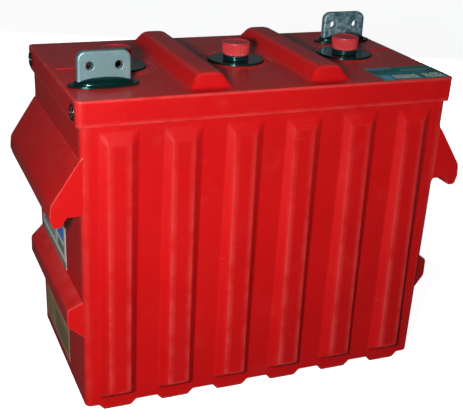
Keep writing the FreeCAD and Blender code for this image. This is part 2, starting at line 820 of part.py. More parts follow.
def endSticker():
    backY = caseWidth / 2 - sideDraft - endLabelBackInset
    return wallPatch(endLabelFrontY, backY, stickerBottomZ, ledgeBottomZ - stickerTopGap)


def save(name, shape):
    shape.exportStep("parts/" + name + ".step")
    print(name, round(shape.Volume / 1000.0, 1), shape.isValid(), len(shape.Solids))


def main():
    os.makedirs("parts", exist_ok=True)
    save("outer_case", outerCase())
    save("rim_gasket", rimGasket())
    moulding = coverMoulding()
    save("cover", cover(moulding))
    save("cover_skirt", coverSkirt(moulding))
    save("cover_ridge_left", coverRidge(-1))
    save("cover_ridge_right", coverRidge(1))
    save("cover_plugs", coverPlugs())
    save("cell_spacers", cellSpacers())
    for index in range(3):
        x = cellX[index]
        number = str(index + 1)
        save("cell_jar_" + number, cellJar(x))
        save("positive_plates_" + number, positivePlates(x))
        save("negative_plates_" + number, negativePlates(x))
        save("separators_" + number, separators(x))
        save("plate_guard_" + number, plateGuard(x))
        save("cell_lid_" + number, cellLid(index))
        save("vent_tower_" + number, ventTower(ventX[index]))
        save("filler_neck_" + number, fillerNeck(ventX[index]))
        save("cap_seal_" + number, capSeal(ventX[index]))
        save("vent_cap_" + number, ventCap(ventX[index]))
        save("cap_tube_" + number, capTube(ventX[index]))
        save("positive_strap_" + number, terminalStrap(-1) if index == 0 else linkStrap(x, -1))
        save("negative_strap_" + number, terminalStrap(1) if index == 2 else linkStrap(x, 1))
    save("post_seals", postSeals())
    save("link_bolts", linkBolts())
    save("link_washers", linkWashers())
    save("link_nuts", linkNuts())
    for side, name in ((-1, "left"), (1, "right")):
        save("terminal_flag_" + name, terminalFlag(side))
        save("terminal_boot_" + name, terminalBoot(side))
    save("top_label", topLabel())
    save("end_label", endLabel())
    save("end_sticker", endSticker())


main()
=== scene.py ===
import math

import bmesh
import bpy
import numpy as np
from mathutils import Matrix, Vector


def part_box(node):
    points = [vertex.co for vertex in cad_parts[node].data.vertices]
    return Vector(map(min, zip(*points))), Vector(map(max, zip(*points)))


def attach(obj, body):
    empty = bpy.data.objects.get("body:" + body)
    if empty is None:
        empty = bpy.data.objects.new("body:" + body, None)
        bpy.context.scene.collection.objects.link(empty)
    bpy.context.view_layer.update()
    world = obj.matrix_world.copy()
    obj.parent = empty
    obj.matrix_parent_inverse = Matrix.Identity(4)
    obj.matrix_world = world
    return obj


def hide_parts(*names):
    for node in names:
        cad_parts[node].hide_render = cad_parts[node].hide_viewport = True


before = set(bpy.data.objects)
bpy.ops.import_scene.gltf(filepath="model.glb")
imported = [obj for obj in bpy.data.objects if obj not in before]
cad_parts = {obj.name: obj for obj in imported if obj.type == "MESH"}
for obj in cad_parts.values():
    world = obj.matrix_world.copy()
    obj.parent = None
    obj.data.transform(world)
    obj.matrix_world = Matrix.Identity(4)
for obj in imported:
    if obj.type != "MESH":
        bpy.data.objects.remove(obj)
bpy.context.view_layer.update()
mm = 0.001
print("frame loaded")


def nodeBox(node):
    # The low and the high corner of a CAD node.
    low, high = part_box(node)
    return np.array(low), np.array(high)


caseHigh = nodeBox("outer_case")[1]
gasketHigh = nodeBox("rim_gasket")[1]
coverLow, coverHigh = nodeBox("cover")

# Places that several pieces share, in millimetres.
layout = {"terminalX": 199.5, "terminalY": 80.0, "ventPitch": 162.0}
layout = {key: value * mm for key, value in layout.items()}

# The grid of a slab ends this far inside its sides, and is finer at these distances from them.
gridInset = 6.5 * mm
fineInsets = np.array([8.0, 7.6, 7.2, 6.9]) * mm


def inMetres(look, *plain):
    # A dictionary of millimetres in metres. The plain keys are counts and shares, and stay.
    return {key: value if key in plain else np.array(value) * mm for key, value in look.items()}


def softStep(t, softness):
    # 0 below 0, 1 above 1, straight between, with both kinks rounded by the softness.
    t = np.asarray(t, float)
    rise = np.logaddexp(0, t / softness) - np.logaddexp(0, (t - 1) / softness)
    return rise * softness


def softMin(a, b, softness):
    # The smaller of two fields, with the crease between them rounded.
    return -softness * np.logaddexp(-a / softness, -b / softness)


def ramp(x, start, end):
    # Smooth 0 to 1 between start and end.
    t = np.clip((x - start) / (end - start), 0, 1)
    return t * t * (3 - 2 * t)


def wander(a, b, seed, size, waves=7):
    # Gentle unevenness: the mean of sine waves of random direction, pitch and phase over two coordinates.
    dice = np.random.default_rng(seed)
    total = np.zeros(np.broadcast(a, b).shape)
    for _ in range(waves):
        angle, phase = dice.uniform(0, 2 * math.pi, 2)
        pitch = size * dice.uniform(0.6, 1.8)
        total += np.sin((a * math.cos(angle) + b * math.sin(angle)) * 2 * math.pi / pitch + phase)
    return total / waves


def roundedOutline(points, radii, steps):
    # A closed outline whose corners are arcs that touch both sides: each corner is cut back by
    # radius / tan(half angle), and the arc swings between the two cut points.
    points = np.asarray(points, float)
    result = []
    for here, radius in enumerate(radii):
        corner = points[here]
        before = points[here - 1] - corner
        after = points[(here + 1) % len(points)] - corner
        before = before / np.linalg.norm(before)
        after = after / np.linalg.norm(after)
        half = math.acos(np.clip(before @ after, -1, 1)) / 2
        if radius <= 0 or half > math.pi / 2 - 0.01:
            result.append(corner[None])
            continue
        middle = (before + after) / np.linalg.norm(before + after) * radius / math.sin(half)
        swing = np.linspace(-1, 1, steps) * (math.pi / 2 - half)
        inward = -middle / np.linalg.norm(middle)
        side = np.array([-inward[1], inward[0]])
        turn = 1 if side @ after > 0 else -1
        arc = radius * (np.cos(swing)[:, None] * inward + turn * np.sin(swing)[:, None] * side)
        result.append(corner + middle + arc)
    return np.concatenate(result)


def bandFaces(loops, count):
    # Quads between neighbouring closed loops of the same count.
    ring = np.arange(count)
    ahead = (ring + 1) % count
    rows = (np.arange(loops - 1) * count)[:, None]
    quads = np.stack([rows + ring, rows + ahead, rows + count + ahead, rows + count + ring], -1)
    return quads.reshape(-1, 4)


def makePiece(name, points, faces, material, body, sharp):
    # A smooth-shaded mesh that rides a body. Faces is a list of arrays of quads and of single long
    # faces. Edges steeper than sharp degrees stay sharp.
    points = np.asarray(points, float)
    flat = []
    for group in faces:
        flat += group.tolist() if isinstance(group, np.ndarray) else [list(group)]
    mesh = bpy.data.meshes.new(name)
    mesh.from_pydata(points.tolist(), [], flat)
    piece = bpy.data.objects.new(name, mesh)
    bpy.context.scene.collection.objects.link(piece)
    tidyMesh(mesh)
    mesh.polygons.foreach_set("use_smooth", [True] * len(mesh.polygons))
    mesh.set_sharp_from_angle(angle=math.radians(sharp))
    mesh.materials.append(material)
    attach(piece, body)
    return piece


def tidyMesh(mesh):
    # Merges doubles, drops faces without area and points every face outwards.
    work = bmesh.new()
    work.from_mesh(mesh)
    bmesh.ops.remove_doubles(work, verts=work.verts, dist=2e-6)
    bmesh.ops.dissolve_degenerate(work, edges=work.edges, dist=1e-7)
    bmesh.ops.recalc_face_normals(work, faces=work.faces)
    work.to_mesh(mesh)
    work.free()


def evenNormals(piece):
    # Corner normals weighted by face area, so that large flats stay flat beside small roundings.
    modifier = piece.modifiers.new("even normals", "WEIGHTED_NORMAL")
    modifier.keep_sharp = True
    modifier.weight = 60


def markEdgeSheen(piece, start=45.0, full=260.0):
    # How much each corner stands out, kept on the mesh for the material, which paints a lighter
    # highlight along the rounded edges with it: the bend along an edge is the change of the normal
    # along it over its length, and a point takes its strongest bend.
    # The border of a large flat end is left clean, or the whole end would fade.
    mesh = piece.data
    place, normal = np.empty(len(mesh.vertices) * 3), np.empty(len(mesh.vertices) * 3)
    ends = np.empty(len(mesh.edges) * 2, int)
    mesh.vertices.foreach_get("co", place)
    mesh.vertices.foreach_get("normal", normal)
    mesh.edges.foreach_get("vertices", ends)
    place, normal, ends = place.reshape(-1, 3), normal.reshape(-1, 3), ends.reshape(-1, 2)
    step = place[ends[:, 1]] - place[ends[:, 0]]
    turned = normal[ends[:, 1]] - normal[ends[:, 0]]
    bend = np.sum(turned * step, 1) / np.maximum(np.sum(step * step, 1), 1e-9)
    strongest = np.zeros(len(place))
    np.maximum.at(strongest, ends[:, 0], bend)
    np.maximum.at(strongest, ends[:, 1], bend)
    for face in mesh.polygons:
        if face.loop_total > 4:
            strongest[list(face.vertices)] = 0
    # This mask places the lighter highlight that the material paints along rounded edges.
    edgeSheen = mesh.attributes.new("edgeSheenMask", "FLOAT", "POINT")
    edgeSheen.data.foreach_set("value", np.clip((strongest - start) / (full - start), 0, 1))
    return piece


def lathe(profile, centre, turns, shape=None):
    # A profile of (radius, height) carried once round an upright axis. shape may change the
    # radius with the angle and height.
    angle = np.linspace(0, 2 * math.pi, turns, endpoint=False)
    radius = np.repeat(profile[:, 0:1], turns, 1)
    height = np.repeat(profile[:, 1:2], turns, 1)
    if shape is not None:
        radius = shape(radius, height, angle[None])
    points = np.stack([centre[0] + radius * np.cos(angle), centre[1] + radius * np.sin(angle),
                       height], -1).reshape(-1, 3)
    return points, [bandFaces(len(profile), turns)]


def closedLathe(profile, centre, turns):
    # The profile is a closed loop, so the last ring joins the first.
    return lathe(np.concatenate([profile, profile[:1]]), centre, turns)


def carriedBar(outline, endAt, edgeRound, spread):
    # An X-Z outline carried along Y in spread steps, between the ends y = -endAt and y = endAt(x, z).
    # Towards each end the outline shrinks along its own normals by a quarter circle.
    ahead = np.roll(outline, -1, 0) - np.roll(outline, 1, 0)
    normal = np.stack([ahead[:, 1], -ahead[:, 0]], -1)
    normal /= np.linalg.norm(normal, axis=1, keepdims=True)
    area = np.sum(outline[:, 0] * np.roll(outline[:, 1], -1) - np.roll(outline[:, 0], -1) * outline[:, 1])
    if area < 0:
        normal = -normal
    turn = np.linspace(0, math.pi / 2, 5)
    along = np.concatenate([-np.ones(5), np.linspace(-0.97, 0.97, spread), np.ones(5)])
    shrink = edgeRound * (1 - np.sin(turn))
    pull = edgeRound * (1 - np.cos(turn))
    shrink = np.concatenate([shrink, np.zeros(spread), shrink[::-1]])
    pull = np.concatenate([pull, np.zeros(spread), pull[::-1]])
    loops = outline[None] - shrink[:, None, None] * normal[None]
    far = endAt(outline[:, 0], outline[:, 1])
    y = along[:, None] * far[None]
    y = y - np.sign(along)[:, None] * pull[:, None] * (np.abs(along)[:, None] > 0.99)
    points = np.stack([loops[..., 0], y, loops[..., 1]], -1).reshape(-1, 3)
    count = len(outline)
    faces = [bandFaces(len(along), count), list(range(count))[::-1],
             list(range((len(along) - 1) * count, len(along) * count))]
    return points, faces


def slab(us, vs, halfAt, corner, profile, topAt, bottomAt, holes=(), push=None):
    # A plate with rounded corners and edges. Inside, a grid of lines us by vs carries a top and a
    # bottom height. A profile of (inset, height) runs from the top grid over the edge to the
    # bottom grid. Every hole has its own profile of (outset, height) down through the plate:
    # grid cells under it are left out, and the stepped loop left behind is joined to its rings.
    u, v = np.meshgrid(us, vs, indexing="ij")
    n, m = u.shape
    index = np.arange(n * m).reshape(n, m)
    points = [np.stack([u, v, topAt(u, v)], -1).reshape(-1, 3),
              np.stack([u, v, bottomAt(u, v)], -1).reshape(-1, 3)]
    under = n * m
    total = 2 * n * m
    faces = []
    keep = np.ones((n - 1, m - 1), bool)
    loops = []
    for hole in holes:
        reach = max(step[0] for step in hole["profile"]) + hole.get("margin", 0.4 * mm)
        inside = np.hypot((u - hole["u"]) / (hole["a"] + reach), (v - hole["v"]) / (hole["b"] + reach)) < 1
        out = inside[:-1, :-1] | inside[1:, :-1] | inside[:-1, 1:] | inside[1:, 1:]
        keep &= ~out
        loops.append(out)
    for hole, out in zip(holes, loops):
        touched = np.zeros((n, m), bool)
        kept = np.zeros((n, m), bool)
        for di in (0, 1):
            for dj in (0, 1):
                touched[di:n - 1 + di, dj:m - 1 + dj] |= out
                kept[di:n - 1 + di, dj:m - 1 + dj] |= keep
        rim = index[touched & kept]
        ru, rv = u.reshape(-1)[rim], v.reshape(-1)[rim]
        angle = np.arctan2((rv - hole["v"]) / hole["b"], (ru - hole["u"]) / hole["a"])
        order = np.argsort(angle)
        rim, angle = rim[order], angle[order]
        count = len(rim)
        rings = []
        for outset, height in hole["profile"]:
            rings.append(np.stack([hole["u"] + (hole["a"] + outset) * np.cos(angle),
                                   hole["v"] + (hole["b"] + outset) * np.sin(angle),
                                   np.full(count, height)], -1))
        ids = [rim] + [total + k * count + np.arange(count) for k in range(len(rings))] + [rim + under]
        points += rings
        total += count * len(rings)
        for above, below in zip(ids[:-1], ids[1:]):
            faces.append(np.stack([above, np.roll(above, -1), np.roll(below, -1), below], -1))
    i, j = np.nonzero(keep)
    top = np.stack([index[i, j], index[i + 1, j], index[i + 1, j + 1], index[i, j + 1]], -1)
    faces += [top, top[:, ::-1] + under]
    edge = np.concatenate([index[:-1, 0], index[-1, :-1], index[:0:-1, -1], index[0, :0:-1]])
    eu, ev = u.reshape(-1)[edge], v.reshape(-1)[edge]
    baseU, baseV = halfAt(profile[0][1])
    centreU = np.clip(eu, corner - baseU, baseU - corner)
    centreV = np.clip(ev, corner - baseV, baseV - corner)
    du, dv = eu - centreU, ev - centreV
    size = np.hypot(du, dv)
    du, dv = du / size, dv / size
    count = len(edge)
    ids = [edge]
    for step in profile:
        inset, height = step[0], step[1]
        cornerHere = step[2] if len(step) > 2 else corner
        hu, hv = np.array(halfAt(height)) - cornerHere
        cu = np.where(np.abs(du) > 1e-6, np.sign(eu), np.clip(eu / hu, -1, 1)) * hu
        cv = np.where(np.abs(dv) > 1e-6, np.sign(ev), np.clip(ev / hv, -1, 1)) * hv
        out = cornerHere - inset
        pu, pv, pw = cu + out * du, cv + out * dv, np.full(count, height)
        if push is not None:
            pu, pv, pw = push(pu, pv, pw, du, dv, inset)
        points.append(np.stack([pu, pv, pw], -1))
        ids.append(total + np.arange(count))
        total += count
    ids.append(edge + under)
    for above, below in zip(ids[:-1], ids[1:]):
        faces.append(np.stack([above, below, np.roll(below, -1), np.roll(above, -1)], -1))
    points = np.concatenate(points)
    used = np.unique(np.concatenate([face.reshape(-1) for face in faces]))
    renumber = np.full(len(points), -1)
    renumber[used] = np.arange(len(used))
    return points[used], [renumber[face] for face in faces]


def lines(low, high, step, *extra):
    # Grid lines about a step apart, with extra lines where the shape needs them.
    base = np.linspace(low, high, max(2, int(round((high - low) / step)) + 1))
    more = np.concatenate([np.atleast_1d(e) for e in extra]) if extra else np.zeros(0)
    more = more[(more > low) & (more < high)]
    free = [x for x in base[1:-1] if len(more) == 0 or np.min(np.abs(more - x)) > step * 0.35]
    return np.unique(np.round(np.concatenate([[low, high], more, free]), 7))


def newMaterial(name):
    # An empty material with one shader joined to its output.
    material = bpy.data.materials.new(name)
    material.use_nodes = True
    tree = material.node_tree
    tree.nodes.clear()
    output = tree.nodes.new("ShaderNodeOutputMaterial")
    shader = tree.nodes.new("ShaderNodeBsdfPrincipled")
    tree.links.new(shader.outputs["BSDF"], output.inputs["Surface"])
    return material, tree, shader


class Weave:
    # Short words for building a node tree. Every pattern lies in the part's own coordinates.
    def __init__(self, tree):
        self.tree = tree
        self.place = tree.nodes.new("ShaderNodeTexCoord").outputs["Object"]

    def link(self, source, target):
        # Joins two sockets.
        self.tree.links.new(source, target)

    def node(self, kind, settings):
        # A node of the tree with its plain inputs set.
        node = self.tree.nodes.new("ShaderNode" + kind)
        for key, value in settings.items():
            node.inputs[key].default_value = value
        return node

    def stretched(self, scale, turn):
        # The part's coordinates, turned and stretched.
        node = self.node("Mapping", {"Scale": scale, "Rotation": turn})
        self.link(self.place, node.inputs["Vector"])
        return node.outputs["Vector"]

    def noise(self, scale, detail=3.0, roughness=0.55, vector=None, distortion=0.0):
        # Cloudy noise, mostly between 0.3 and 0.7.
        node = self.node("TexNoise", {"Scale": scale, "Detail": detail, "Roughness": roughness,
                                      "Distortion": distortion})
        self.link(vector or self.place, node.inputs["Vector"])
        return node.outputs["Fac"]

    def cells(self, scale):
        # The distance from the nearest of many scattered points.
        node = self.node("TexVoronoi", {"Scale": scale})
        self.link(self.place, node.inputs["Vector"])
        return node.outputs["Distance"]

    def span(self, value, low, high, newLow=0.0, newHigh=1.0):
        # Smooth newLow to newHigh while the value goes from low to high.
        node = self.node("MapRange", {"From Min": low, "From Max": high, "To Min": newLow, "To Max": newHigh})
        node.interpolation_type = "SMOOTHSTEP"
        self.link(value, node.inputs["Value"])
        return node.outputs["Result"]

    def math(self, kind, a, b):
        # One sum of two numbers or sockets.
        node = self.node("Math", {})
        node.operation = kind
        for socket, value in zip(node.inputs, (a, b)):
            if isinstance(value, (int, float)):
                socket.default_value = value
            else:
                self.link(value, socket)
        return node.outputs[0]

    def blend(self, amount, a, b):
        # Colour a where the amount is 0 and colour b where it is 1.
        node = self.node("Mix", {})
        node.data_type = "RGBA"
        for socket, value in ((node.inputs[0], amount), (node.inputs[6], a), (node.inputs[7], b)):
            if isinstance(value, (int, float)):
                socket.default_value = value
            elif isinstance(value, tuple):
                socket.default_value = (*value[:3], 1.0)
            else:
                self.link(value, socket)
        return node.outputs[2]

    def bump(self, height, distance, strength=1.0, normal=None):
        # A normal tilted by a height, on top of another normal.
        node = self.node("Bump", {"Strength": strength, "Distance": distance})
        self.link(height, node.inputs["Height"])
        if normal is not None:
            self.link(normal, node.inputs["Normal"])
        return node.outputs["Normal"]

    def edges(self):
        # The edge mask left on the mesh, which places the highlight painted along rounded edges.
        node = self.node("Attribute", {})
        node.attribute_name = "edgeSheenMask"
        return node.outputs["Fac"]

    def axis(self, which):
        # One of the part's own three coordinates.
        node = self.node("SeparateXYZ", {})
        self.link(self.place, node.inputs[0])
        return node.outputs[which]


def mouldedPlastic(name, look):
    # Moulded plastic: cloudy colour, fine leathery skin, lighter scuffed patches, hairline scratches, dust,
    # and a highlight painted in patches along the rounded edges.
    material, tree, shader = newMaterial(name)
    w = Weave(tree)
    cloud = w.span(w.noise(5.0, 4), 0.3, 0.7)
    colour = w.blend(cloud, look["colour"], look["colourTwo"])
    speck = w.span(w.noise(420.0, 2), 0.66, 0.74)
    colour = w.blend(w.math("MULTIPLY", speck, look["speck"]), colour, look["speckColour"])
    scuff = w.span(w.noise(26.0, 5, 0.62), 0.56, 0.78)
    colour = w.blend(w.math("MULTIPLY", scuff, look["scuff"]), colour, look["scuffColour"])
    hairs = w.noise(1.0, 2, 0.5, w.stretched((40, 40, 900), (0.35, 0.2, 0.1)))
    hairsToo = w.noise(1.0, 2, 0.5, w.stretched((1000, 60, 50), (0.1, 0.5, 0.7)))
    scratch = w.math("MAXIMUM", w.span(hairs, 0.70, 0.76), w.span(hairsToo, 0.71, 0.77))
    scratch = w.math("MULTIPLY", scratch, w.span(w.noise(9.0, 2), 0.45, 0.7))
    colour = w.blend(w.math("MULTIPLY", scratch, look["scratch"]), colour, look["scratchColour"])
    # A painted highlight: a lighter red laid in patches along the rounded edges, standing in for the lamp's
    # shine on them.
    if "edgeSheen" in look:
        patchy = w.span(w.noise(38.0, 4, 0.6), 0.30, 0.62, 0.25, 1.0)
        edgeSheenAmount = w.math("MULTIPLY", w.math("MULTIPLY", w.edges(), patchy), look["edgeSheen"])
        colour = w.blend(edgeSheenAmount, colour, look["edgeSheenColour"])
    w.link(colour, shader.inputs["Base Color"])
    rough = w.math("ADD", w.span(w.noise(14.0, 4), 0.3, 0.7, *look["rough"]),
                   w.math("MULTIPLY", scratch, 0.15))
    w.link(rough, shader.inputs["Roughness"])
    skin = w.noise(look["skinScale"], 3, 0.6)
    normal = w.bump(w.noise(16.0, 2, 0.4), look["waveDepth"])
    normal = w.bump(skin, look["skinDepth"], 0.8, normal)
    normal = w.bump(w.math("SUBTRACT", 1.0, scratch), 0.00006, 0.6, normal)
    w.link(normal, shader.inputs["Normal"])
    shader.inputs["Specular IOR Level"].default_value = look["specular"]
    shader.inputs["Specular Tint"].default_value = (*look.get("tint", (1.0, 1.0, 1.0)), 1.0)
    shader.inputs["Coat Weight"].default_value = look.get("coat", 0.0)
    shader.inputs["Coat Roughness"].default_value = look.get("coatRough", 0.1)
    return material


# The case plastic paints a lighter red highlight along its rounded edges; the edge colour and its strength
# are given here.
redCase = mouldedPlastic("redCasePlastic", {
    "colour": (0.62, 0.0045, 0.005), "colourTwo": (0.54, 0.0035, 0.0045), "speck": 0.12,
    "speckColour": (0.30, 0.01, 0.01), "scuff": 0.10, "scuffColour": (0.72, 0.08, 0.07),
    "scratch": 0.22, "scratchColour": (0.80, 0.16, 0.14), "rough": (0.38, 0.50),
    "skinScale": 900.0, "skinDepth": 0.00012, "waveDepth": 0.0009, "specular": 0.22,
    "coat": 0.45, "coatRough": 0.30, "edgeSheen": 0.30, "edgeSheenColour": (0.84, 0.13, 0.12)})
# The cap plastic paints a pale red highlight along its rounded edges; the edge colour and its strength are
# given here.
redCap = mouldedPlastic("redCapPlastic", {
    "colour": (0.66, 0.040, 0.050), "colourTwo": (0.56, 0.028, 0.036), "speck": 0.20,
    "speckColour": (0.3, 0.02, 0.02), "scuff": 0.45, "scuffColour": (0.80, 0.20, 0.20),
    "scratch": 0.3, "scratchColour": (0.8, 0.3, 0.3), "rough": (0.24, 0.38),
    "skinScale": 1500.0, "skinDepth": 0.00006, "waveDepth": 0.0002, "specular": 0.55,
    "edgeSheen": 0.20, "edgeSheenColour": (0.86, 0.36, 0.34)})
blackGloss = mouldedPlastic("blackLidPlastic", {
    "colour": (0.001, 0.011, 0.011), "colourTwo": (0.002, 0.018, 0.017), "speck": 0.10,
    "speckColour": (0.06, 0.08, 0.08), "scuff": 0.05, "scuffColour": (0.05, 0.07, 0.07),
    "scratch": 0.12, "scratchColour": (0.10, 0.13, 0.13), "rough": (0.10, 0.22),
    "skinScale": 1200.0, "skinDepth": 0.00002, "waveDepth": 0.0002, "specular": 0.6,
    "tint": (0.35, 1.0, 0.90)})
jarPlastic = mouldedPlastic("jarPlastic", {
    "colour": (0.05, 0.055, 0.06), "colourTwo": (0.07, 0.075, 0.08), "speck": 0.1,
    "speckColour": (0.1, 0.1, 0.1), "scuff": 0.2, "scuffColour": (0.2, 0.2, 0.2),
    "scratch": 0.3, "scratchColour": (0.3, 0.3, 0.3), "rough": (0.35, 0.5),
    "skinScale": 900.0, "skinDepth": 0.0001, "waveDepth": 0.0005, "specular": 0.5})
sealRubber = mouldedPlastic("sealRubber", {
    "colour": (0.012, 0.012, 0.012), "colourTwo": (0.02, 0.02, 0.02), "speck": 0.2,
    "speckColour": (0.07, 0.07, 0.07), "scuff": 0.3, "scuffColour": (0.08, 0.08, 0.08),
    "scratch": 0.1, "scratchColour": (0.1, 0.1, 0.1), "rough": (0.6, 0.8),
    "skinScale": 1500.0, "skinDepth": 0.0001, "waveDepth": 0.0003, "specular": 0.35})
foamBoard = mouldedPlastic("foamBoard", {
    "colour": (0.72, 0.72, 0.68), "colourTwo": (0.62, 0.62, 0.58), "speck": 0.4,
    "speckColour": (0.4, 0.4, 0.38), "scuff": 0.2, "scuffColour": (0.5, 0.5, 0.46),
    "scratch": 0.1, "scratchColour": (0.5, 0.5, 0.5), "rough": (0.8, 0.95),
    "skinScale": 500.0, "skinDepth": 0.0006, "waveDepth": 0.0005, "specular": 0.2})
separatorSheet = mouldedPlastic("separatorSheet", {
    "colour": (0.50, 0.51, 0.50), "colourTwo": (0.40, 0.41, 0.40), "speck": 0.3,
    "speckColour": (0.2, 0.2, 0.2), "scuff": 0.2, "scuffColour": (0.3, 0.3, 0.3),
    "scratch": 0.1, "scratchColour": (0.5, 0.5, 0.5), "rough": (0.7, 0.9),
    "skinScale": 700.0, "skinDepth": 0.0003, "waveDepth": 0.0003, "specular": 0.3})


def castMetal(name, look):
    # Cast metal: mottled oxide, pits, fine flow lines and rubbed bright spots.
    material, tree, shader = newMaterial(name)
    w = Weave(tree)
    mottle = w.span(w.noise(look["mottleScale"], 6, 0.65, distortion=0.4), 0.35, 0.65)
    colour = w.blend(mottle, look["colour"], look["oxide"])
    bloom = w.span(w.noise(look["mottleScale"] * 0.35, 4, 0.6), 0.48, 0.66)
    colour = w.blend(w.math("MULTIPLY", bloom, look["bloom"]), colour, look["bloomColour"])
    pits = w.span(w.cells(520.0), 0.10, 0.22)
    colour = w.blend(w.math("MULTIPLY", w.math("SUBTRACT", 1.0, pits), 0.5), colour, look["pitColour"])
    w.link(colour, shader.inputs["Base Color"])
    w.link(w.span(mottle, 0.0, 1.0, *look["rough"]), shader.inputs["Roughness"])
    normal = w.bump(w.noise(260.0, 5, 0.7), look["grain"], 0.9)
    normal = w.bump(pits, 0.00012, 0.7, normal)
    normal = w.bump(w.noise(40.0, 3), 0.0004, 0.6, normal)
    w.link(normal, shader.inputs["Normal"])
    shader.inputs["Metallic"].default_value = look["metallic"]
    shader.inputs["Specular IOR Level"].default_value = 0.5
    return material


castLead = castMetal("castLead", {
    "colour": (0.27, 0.43, 0.45), "oxide": (0.17, 0.31, 0.34), "mottleScale": 60.0, "bloom": 0.4,
    "bloomColour": (0.40, 0.54, 0.55), "pitColour": (0.08, 0.11, 0.12), "rough": (0.34, 0.52),
    "grain": 0.00012, "metallic": 0.55})
agedLead = castMetal("agedLead", {
    "colour": (0.07, 0.20, 0.27), "oxide": (0.36, 0.52, 0.55), "mottleScale": 130.0, "bloom": 0.6,
    "bloomColour": (0.04, 0.14, 0.20), "pitColour": (0.03, 0.06, 0.08), "rough": (0.38, 0.62),
    "grain": 0.0003, "metallic": 0.5})
platedSteel = castMetal("platedSteel", {
    "colour": (0.62, 0.62, 0.60), "oxide": (0.50, 0.50, 0.48), "mottleScale": 90.0, "bloom": 0.2,
    "bloomColour": (0.55, 0.52, 0.42), "pitColour": (0.3, 0.3, 0.28), "rough": (0.22, 0.38),
    "grain": 0.00004, "metallic": 0.95})
positivePaste = castMetal("positivePaste", {
    "colour": (0.12, 0.055, 0.03), "oxide": (0.08, 0.035, 0.02), "mottleScale": 40.0, "bloom": 0.3,
    "bloomColour": (0.16, 0.08, 0.05), "pitColour": (0.04, 0.02, 0.01), "rough": (0.8, 0.95),
    "grain": 0.0004, "metallic": 0.0})
negativePaste = castMetal("negativePaste", {
    "colour": (0.26, 0.27, 0.29), "oxide": (0.20, 0.21, 0.23), "mottleScale": 40.0, "bloom": 0.3,
    "bloomColour": (0.32, 0.33, 0.35), "pitColour": (0.1, 0.1, 0.11), "rough": (0.7, 0.9),
    "grain": 0.0004, "metallic": 0.1})


def labelFilm(name, look):
    # Printed film: colour blocks placed in the part's own coordinates, with worn ink and dust.
    material, tree, shader = newMaterial(name)
    w = Weave(tree)
    places, soft = [w.axis(index) for index in look["axes"]], look["soft"]
    colour = w.blend(w.span(w.noise(30.0, 3), 0.35, 0.65), look["colour"], look["colourTwo"])
    for block in look["blocks"]:
        edges = []
        for place, low, high in zip(places, block["from"], block["to"]):
            edges += [w.span(place, low, low + soft), w.span(place, high, high - soft)]
        mask = edges[0]
        for edge in edges[1:]:
            mask = w.math("MULTIPLY", mask, edge)
        if block.get("mottle"):
            mask = w.math("MULTIPLY", mask, w.span(w.noise(block["mottle"], 2), 0.38, 0.52))
        colour = w.blend(mask, colour, block["colour"])
    wear = w.span(w.noise(70.0, 5, 0.65), 0.55, 0.75)
    colour = w.blend(w.math("MULTIPLY", wear, look["wear"]), colour, look["wearColour"])
    w.link(colour, shader.inputs["Base Color"])
    w.link(w.span(w.noise(40.0, 3), 0.3, 0.7, *look["rough"]), shader.inputs["Roughness"])
    w.link(w.bump(w.noise(60.0, 3), 0.0003, 0.5), shader.inputs["Normal"])
    shader.inputs["Specular IOR Level"].default_value = look["specular"]
    return material


caseLook = {
    "wall": 5.0, "corner": 8.0, "grippedCorner": 1.6, "endDraft": 4.0, "sideDraft": 10.5,
    "skirtDrop": 23.0, "footHeight": 8.0, "floorThickness": 6.0, "bottomRound": 2.5, "rimRound": 1.0,
    "ribCount": 6, "ribPitch": 78.7, "ribBase": 48.0, "ribFace": 27.0, "ribFaceInset": 0.5,
    "ribTopDrop": 8.0, "ribTopBevel": 15.0, "ribBottom": 20.0, "ribBottomBevel": 10.0, "ribSoft": 0.065,
    "footTop": 50.0, "footSole": 36.0, "footEndInset": -2.0, "footEndBevel": 2.0,
    "gripTop": 39.0, "gripBottom": 110.0, "unevenness": 0.18,
    "ribLines": (0, 6, 12.4, 13.1, 13.6, 14.1, 15, 18, 21, 22.6, 23.4, 24.0, 24.6, 25.6, 29),
    "footEndLines": (117, 118, 119),
    "dropLines": (2, 5, 7, 7.8, 8.4, 9.2, 11, 15, 19, 21.4, 22.4, 23.2, 24.2, 26, 30, 36, 38, 39, 40, 42,
                  108, 110, 112, 114, 118),
    "heightLines": (36, 33, 31.2, 30.2, 29.2, 27.5, 25, 22.6, 21, 20, 19, 17.5, 15, 12.5)}


